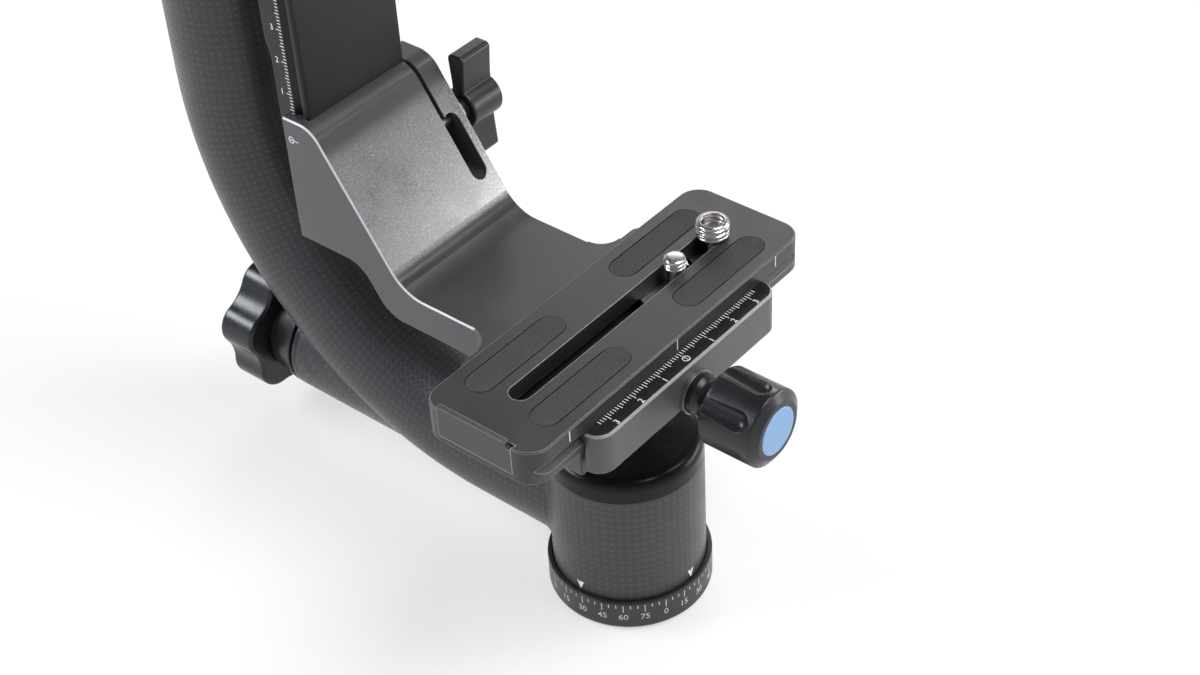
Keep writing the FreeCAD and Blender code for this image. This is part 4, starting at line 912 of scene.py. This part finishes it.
def threadRows(major, depth, pitch, low, high):
    count = max(int((high - low) / (pitch / threadForm["rowsPerPitch"])), 4)
    rows = []
    for i in range(count + 1):
        z = low + (high - low) * i / count
        rows.append((lambda turn, z=z: threadRadius(major, depth, pitch, z, turn, low, high), z))
    return rows


def coinSlot(piece, look):
    box = bmesh.new()
    bmesh.ops.create_cube(box, size=1.0)
    mesh = bpy.data.meshes.new("slotCutter")
    for vert in box.verts:
        vert.co = Vector((vert.co.x * look["slot"], vert.co.y * look["head"] * 2.2 + look["centre"][1],
                          vert.co.z * 2 * look["slotDepth"] + look["headLow"])) * mm
    box.to_mesh(mesh)
    box.free()
    cutter = bpy.data.objects.new("slotCutter", mesh)
    bpy.context.scene.collection.objects.link(cutter)
    cut = piece.modifiers.new("coin slot", "BOOLEAN")
    cut.object = cutter
    cut.operation = "DIFFERENCE"
    cut.solver = "EXACT"
    ready = piece.evaluated_get(bpy.context.evaluated_depsgraph_get())
    made = bpy.data.meshes.new_from_object(ready)
    piece.modifiers.clear()
    piece.data = made
    bpy.data.objects.remove(cutter)


screwHead = {"headLow": 86.5, "headTop": 88.7, "head": 6.8, "headRound": ((0.4, 0.0), (0.1, 0.1), (0.0, 0.35)),
             "neck": 2.2, "neckRound": 0.25, "pitch": 1.27, "slot": 1.5, "slotDepth": 1.0}


def makeCameraScrew(name, body, node, look):
    bm = bmesh.new()
    low, high, head, neck = look["headLow"], look["headTop"], look["head"], look["neck"]
    major, depth, start = look["major"], look["depth"], look["threadLow"]
    top, tip = look["top"], look["tip"]
    rows = [(head - inset, low + up) for inset, up in look["headRound"]]
    rows += [(head - inset, high - down) for inset, down in look["headRound"][::-1]]
    rows += [(neck + look["neckRound"], high), (neck, high + look["neckRound"]), (neck, start - 0.3),
             (major - depth * 1.1, start)]
    rows += threadRows(major, depth, look["pitch"], start + 0.1, top - tip)
    root = major - depth
    rows += [(root - 0.25, top - tip * 0.45), (root - 0.7, top - 0.05), (root - 1.1, top)]
    rings = turnedSkin(bm, rows, look["centre"])
    bm.faces.new(rings[0])
    last = rings[-1]
    middle = bm.verts.new((look["centre"][0] * mm, look["centre"][1] * mm, top * mm))
    for k in range(len(last)):
        bm.faces.new((last[k], last[(k + 1) % len(last)], middle))
    piece = newPiece(name, bm, nickelFinish, body)
    coinSlot(piece, look)
    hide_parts(node)


makeCameraScrew("quarterScrewThreaded", "quarter_screw", "quarter_camera_screw", {
    **screwHead, "centre": (0, 24.8), "threadLow": 96.8, "top": 100.2, "tip": 0.35,
    "major": 3.175, "depth": 0.62})
makeCameraScrew("largeScrewThreaded", "large_screw", "large_camera_screw", {
    **screwHead, "centre": (0, 42.0), "threadLow": 97.3, "top": 99.9, "tip": 0.5,
    "major": 3.125, "depth": 0.6})


def makeAdapter(look):
    bm = bmesh.new()
    low, top, major, depth, bore = look["low"], look["top"], look["major"], look["depth"], look["bore"]
    rows = [(bore + 0.15, low), (major - 0.9, low)]
    rows += threadRows(major, depth, look["pitch"], low + 0.25, top - 0.3)
    rows += [(major - depth - 0.15, top - 0.08), (major - depth - 0.35, top), (bore + 0.35, top),
             (bore + 0.1, top - 0.12)]
    inner, innerLow = look["innerDepth"], look["innerLow"]
    rows += threadRows(bore + inner, inner, look["innerPitch"], innerLow, top - 0.3)[::-1]
    rows += [(bore, innerLow - 0.1)]
    rings = turnedSkin(bm, rows, look["centre"], 96)
    first, last = rings[0], rings[-1]
    for k in range(len(first)):
        j = (k + 1) % len(first)
        bm.faces.new((last[k], last[j], first[j], first[k]))
    piece = newPiece("adapterThreaded", bm, nickelFinish, "large_screw")
    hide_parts("thread_adapter")


makeAdapter({"centre": (0, 42.0), "low": 97.3, "top": 102.1, "major": 4.7625, "depth": 0.85, "pitch": 1.5875,
             "bore": 3.155, "innerDepth": 0.45, "innerPitch": 1.27, "innerLow": 99.7})
print("camera screws threaded")


# Grip pads: obround rubber with staggered pits.
gripPads = {"centres": [(x, 0.8 + y) for x in (-10.95, 10.95) for y in (-29.5, 29.5)], "radius": 4.05,
            "straight": 13.9, "low": 95.9, "top": 96.97, "round": 0.3, "mesh": 0.15,
            "pit": 0.75, "rowShare": 0.866, "pitDepth": 0.22, "pitSharp": 1.1}


def padOutline(inset, count):
    radius = gripPads["radius"] - inset
    straight = gripPads["straight"]
    quarter = count // 4
    points = []
    for side, start in ((1, 0.0), (-1, math.pi)):      # one long side, then the round end that follows it
        for k in range(quarter):
            points.append((side * radius, side * (2 * straight * k / quarter - straight)))
        for k in range(quarter):
            turn = start + math.pi * k / quarter
            points.append((radius * math.cos(turn), side * straight + radius * math.sin(turn)))
    return points


def pitShape(x, y):      # 1 in the middle of a pit, 0 between pits
    step, rowStep = gripPads["pit"], gripPads["pit"] * gripPads["rowShare"]
    row = math.floor(y / rowStep)
    nearest = 9.0
    for r in (row - 1, row, row + 1, row + 2):
        shift = step / 2 if r % 2 else 0.0
        column = round((x - shift) / step)
        nearest = min(nearest, math.hypot(x - shift - column * step, y - r * rowStep))
    return max(0.0, math.cos(min(nearest / (step * 0.5), 1.0) * math.pi / 2)) ** gripPads["pitSharp"]


def makeGripPads():
    bm = bmesh.new()
    count = 4 * int(2 * gripPads["straight"] / gripPads["mesh"])
    insets = [gripPads["round"] * t for t in (0.0, 0.12, 0.35, 0.7, 1.0)]
    while insets[-1] + gripPads["mesh"] < gripPads["radius"] - 0.05:
        insets.append(insets[-1] + gripPads["mesh"])
    for cx, cy in gripPads["centres"]:
        rings = [[bm.verts.new(((cx + x) * mm, (cy + y) * mm, gripPads["low"] * mm))
                  for x, y in padOutline(0.0, count)]]
        for inset in insets:
            t = min(inset / gripPads["round"], 1.0)
            drop = gripPads["round"] * (1 - math.sqrt(1 - (1 - t) ** 2))
            ring = []
            for x, y in padOutline(inset, count):
                z = gripPads["top"] - drop - gripPads["pitDepth"] * pitShape(x, y) * t
                ring.append(bm.verts.new(((cx + x) * mm, (cy + y) * mm, z * mm)))
            rings.append(ring)
        joinRings(bm, rings)
        last = rings[-1]
        quarter = count // 4
        for k in range(quarter):      # zip the two straight sides of the last ring
            bm.faces.new((last[k], last[k + 1], last[(3 * quarter - k - 1) % count], last[3 * quarter - k]))
        bm.faces.new([last[k] for k in range(quarter, 2 * quarter + 1)])
        bm.faces.new([last[k % count] for k in range(3 * quarter, 4 * quarter + 1)])
        bm.faces.new(rings[0])
    piece = newPiece("gripPadsPitted", bm, padRubber, "plate")
    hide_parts("grip_pads")


makeGripPads()
print("grip pads made")


# Floor, light and camera.
studio = {"floorSize": 3.0, "floorColour": grey(0.90), "fibreColour": grey(0.88), "fibreScale": 900.0,
          "floorGlow": 0.55, "floorFades": (0.7, 1.7), "horizon": (0.84, 0.88, 0.95, 1),
          "zenith": (0.12, 0.12, 0.13, 1), "world": 1.0,
          "lamps": [      # name, place, aim, size, watts, colour
              ("overhead", (0.40, 0.25, 1.1), (0, 0, 0.1), (0.6, 0.6), 11.0, (1, 1, 1)),
              ("leftSoft", (-0.86, -0.57, 0.78), (-0.05, 0, 0.05), (0.7, 0.26), 10.0, (0.90, 0.95, 1)),
              ("lowCard", (0.407, 0.540, 0.185), (-0.07, 0, 0.115), (0.40, 0.18), 1.7, (1, 1, 1)),
              ("backCard", (-0.62, 0.95, 0.55), (0, 0.05, 0.09), (0.5, 0.3), 3.0, (1, 1, 1))]}


def makeFloor():
    bm = bmesh.new()
    bmesh.ops.create_grid(bm, x_segments=8, y_segments=8, size=studio["floorSize"])
    mesh = bpy.data.meshes.new("floor")
    bm.to_mesh(mesh)
    bm.free()
    floor = bpy.data.objects.new("floor", mesh)
    floor.location.z = -0.00005
    bpy.context.scene.collection.objects.link(floor)
    finish = bpy.data.materials.new("floorPaper")
    finish.use_nodes = True
    tree = finish.node_tree
    shader = tree.nodes["Principled BSDF"]
    shader.inputs["Roughness"].default_value = 0.8
    shader.inputs["Specular IOR Level"].default_value = 0.1
    vector = tree.nodes.new("ShaderNodeTexCoord").outputs["Object"]
    fibre = noise(tree, vector, studio["fibreScale"], 3.0)
    wire(tree, mixTint(tree, fibre, studio["fibreColour"], studio["floorColour"]), shader.inputs["Base Color"])
    wire(tree, bump(tree, fibre, 0.00003), shader.inputs["Normal"])
    rays = tree.nodes.new("ShaderNodeLightPath").outputs
    mirrored = calc(tree, "MAXIMUM", rays["Is Glossy Ray"], rays["Is Transmission Ray"])
    seen = calc(tree, "MAXIMUM", rays["Is Camera Ray"], mirrored)
    glow = tree.nodes.new("ShaderNodeEmission")
    glow.inputs["Strength"].default_value = 1.0
    mix = tree.nodes.new("ShaderNodeMixShader")
    farOff = rise(tree, vectorCalc(tree, "LENGTH", vector), *studio["floorFades"])
    farOff = times(tree, farOff, rays["Is Camera Ray"])      # the floor's far edge turns white
    wire(tree, calc(tree, "MAXIMUM", times(tree, seen, studio["floorGlow"]), farOff), mix.inputs[0])
    wire(tree, shader.outputs[0], mix.inputs[1])
    wire(tree, glow.outputs[0], mix.inputs[2])
    wire(tree, mix.outputs[0], tree.nodes["Material Output"].inputs["Surface"])
    mesh.materials.append(finish)


def makeWorld():
    world = bpy.data.worlds.new("studio")
    bpy.context.scene.world = world
    world.use_nodes = True
    tree = world.node_tree
    sky = tree.nodes["Background"]
    up = axesOf(tree, tree.nodes.new("ShaderNodeTexCoord").outputs["Generated"])[2]
    seen = tree.nodes.new("ShaderNodeLightPath").outputs["Is Camera Ray"]
    shade = mixTint(tree, rise(tree, up, 0.0, 0.75), studio["horizon"], studio["zenith"])
    wire(tree, mixTint(tree, seen, shade, (1, 1, 1, 1)), sky.inputs["Color"])
    sky.inputs["Strength"].default_value = studio["world"]


def makeLamps():
    for name, place, aim, size, power, tint in studio["lamps"]:
        lamp = bpy.data.lights.new(name, "AREA")
        lamp.shape = "RECTANGLE"
        lamp.size, lamp.size_y = size
        lamp.energy = power
        lamp.color = tint
        holder = bpy.data.objects.new(name, lamp)
        holder.location = place
        holder.rotation_euler = (Vector(aim) - Vector(place)).to_track_quat("-Z", "Y").to_euler()
        bpy.context.scene.collection.objects.link(holder)


view = {"place": (0.279604, -0.326936, 0.443253), "lens": 62.52,
        "turn": ((0.77553094, -0.37416312, 0.50848177),
                 (0.62967776, 0.51632519, -0.58044312),
                 (-0.04536154, 0.77033127, 0.63602836))}


def makeCamera():
    data = bpy.data.cameras.new("camera")
    data.lens = view["lens"]
    data.sensor_width = 36.0
    data.sensor_fit = "HORIZONTAL"
    data.clip_start = 0.01
    camera = bpy.data.objects.new("camera", data)
    camera.matrix_world = Matrix.Translation(view["place"]) @ Matrix(view["turn"]).to_4x4()
    bpy.context.scene.collection.objects.link(camera)
    bpy.context.scene.camera = camera


makeFloor()
makeWorld()
makeLamps()
makeCamera()
bpy.context.scene.view_settings.view_transform = "Standard"
print("floor, light and camera placed")
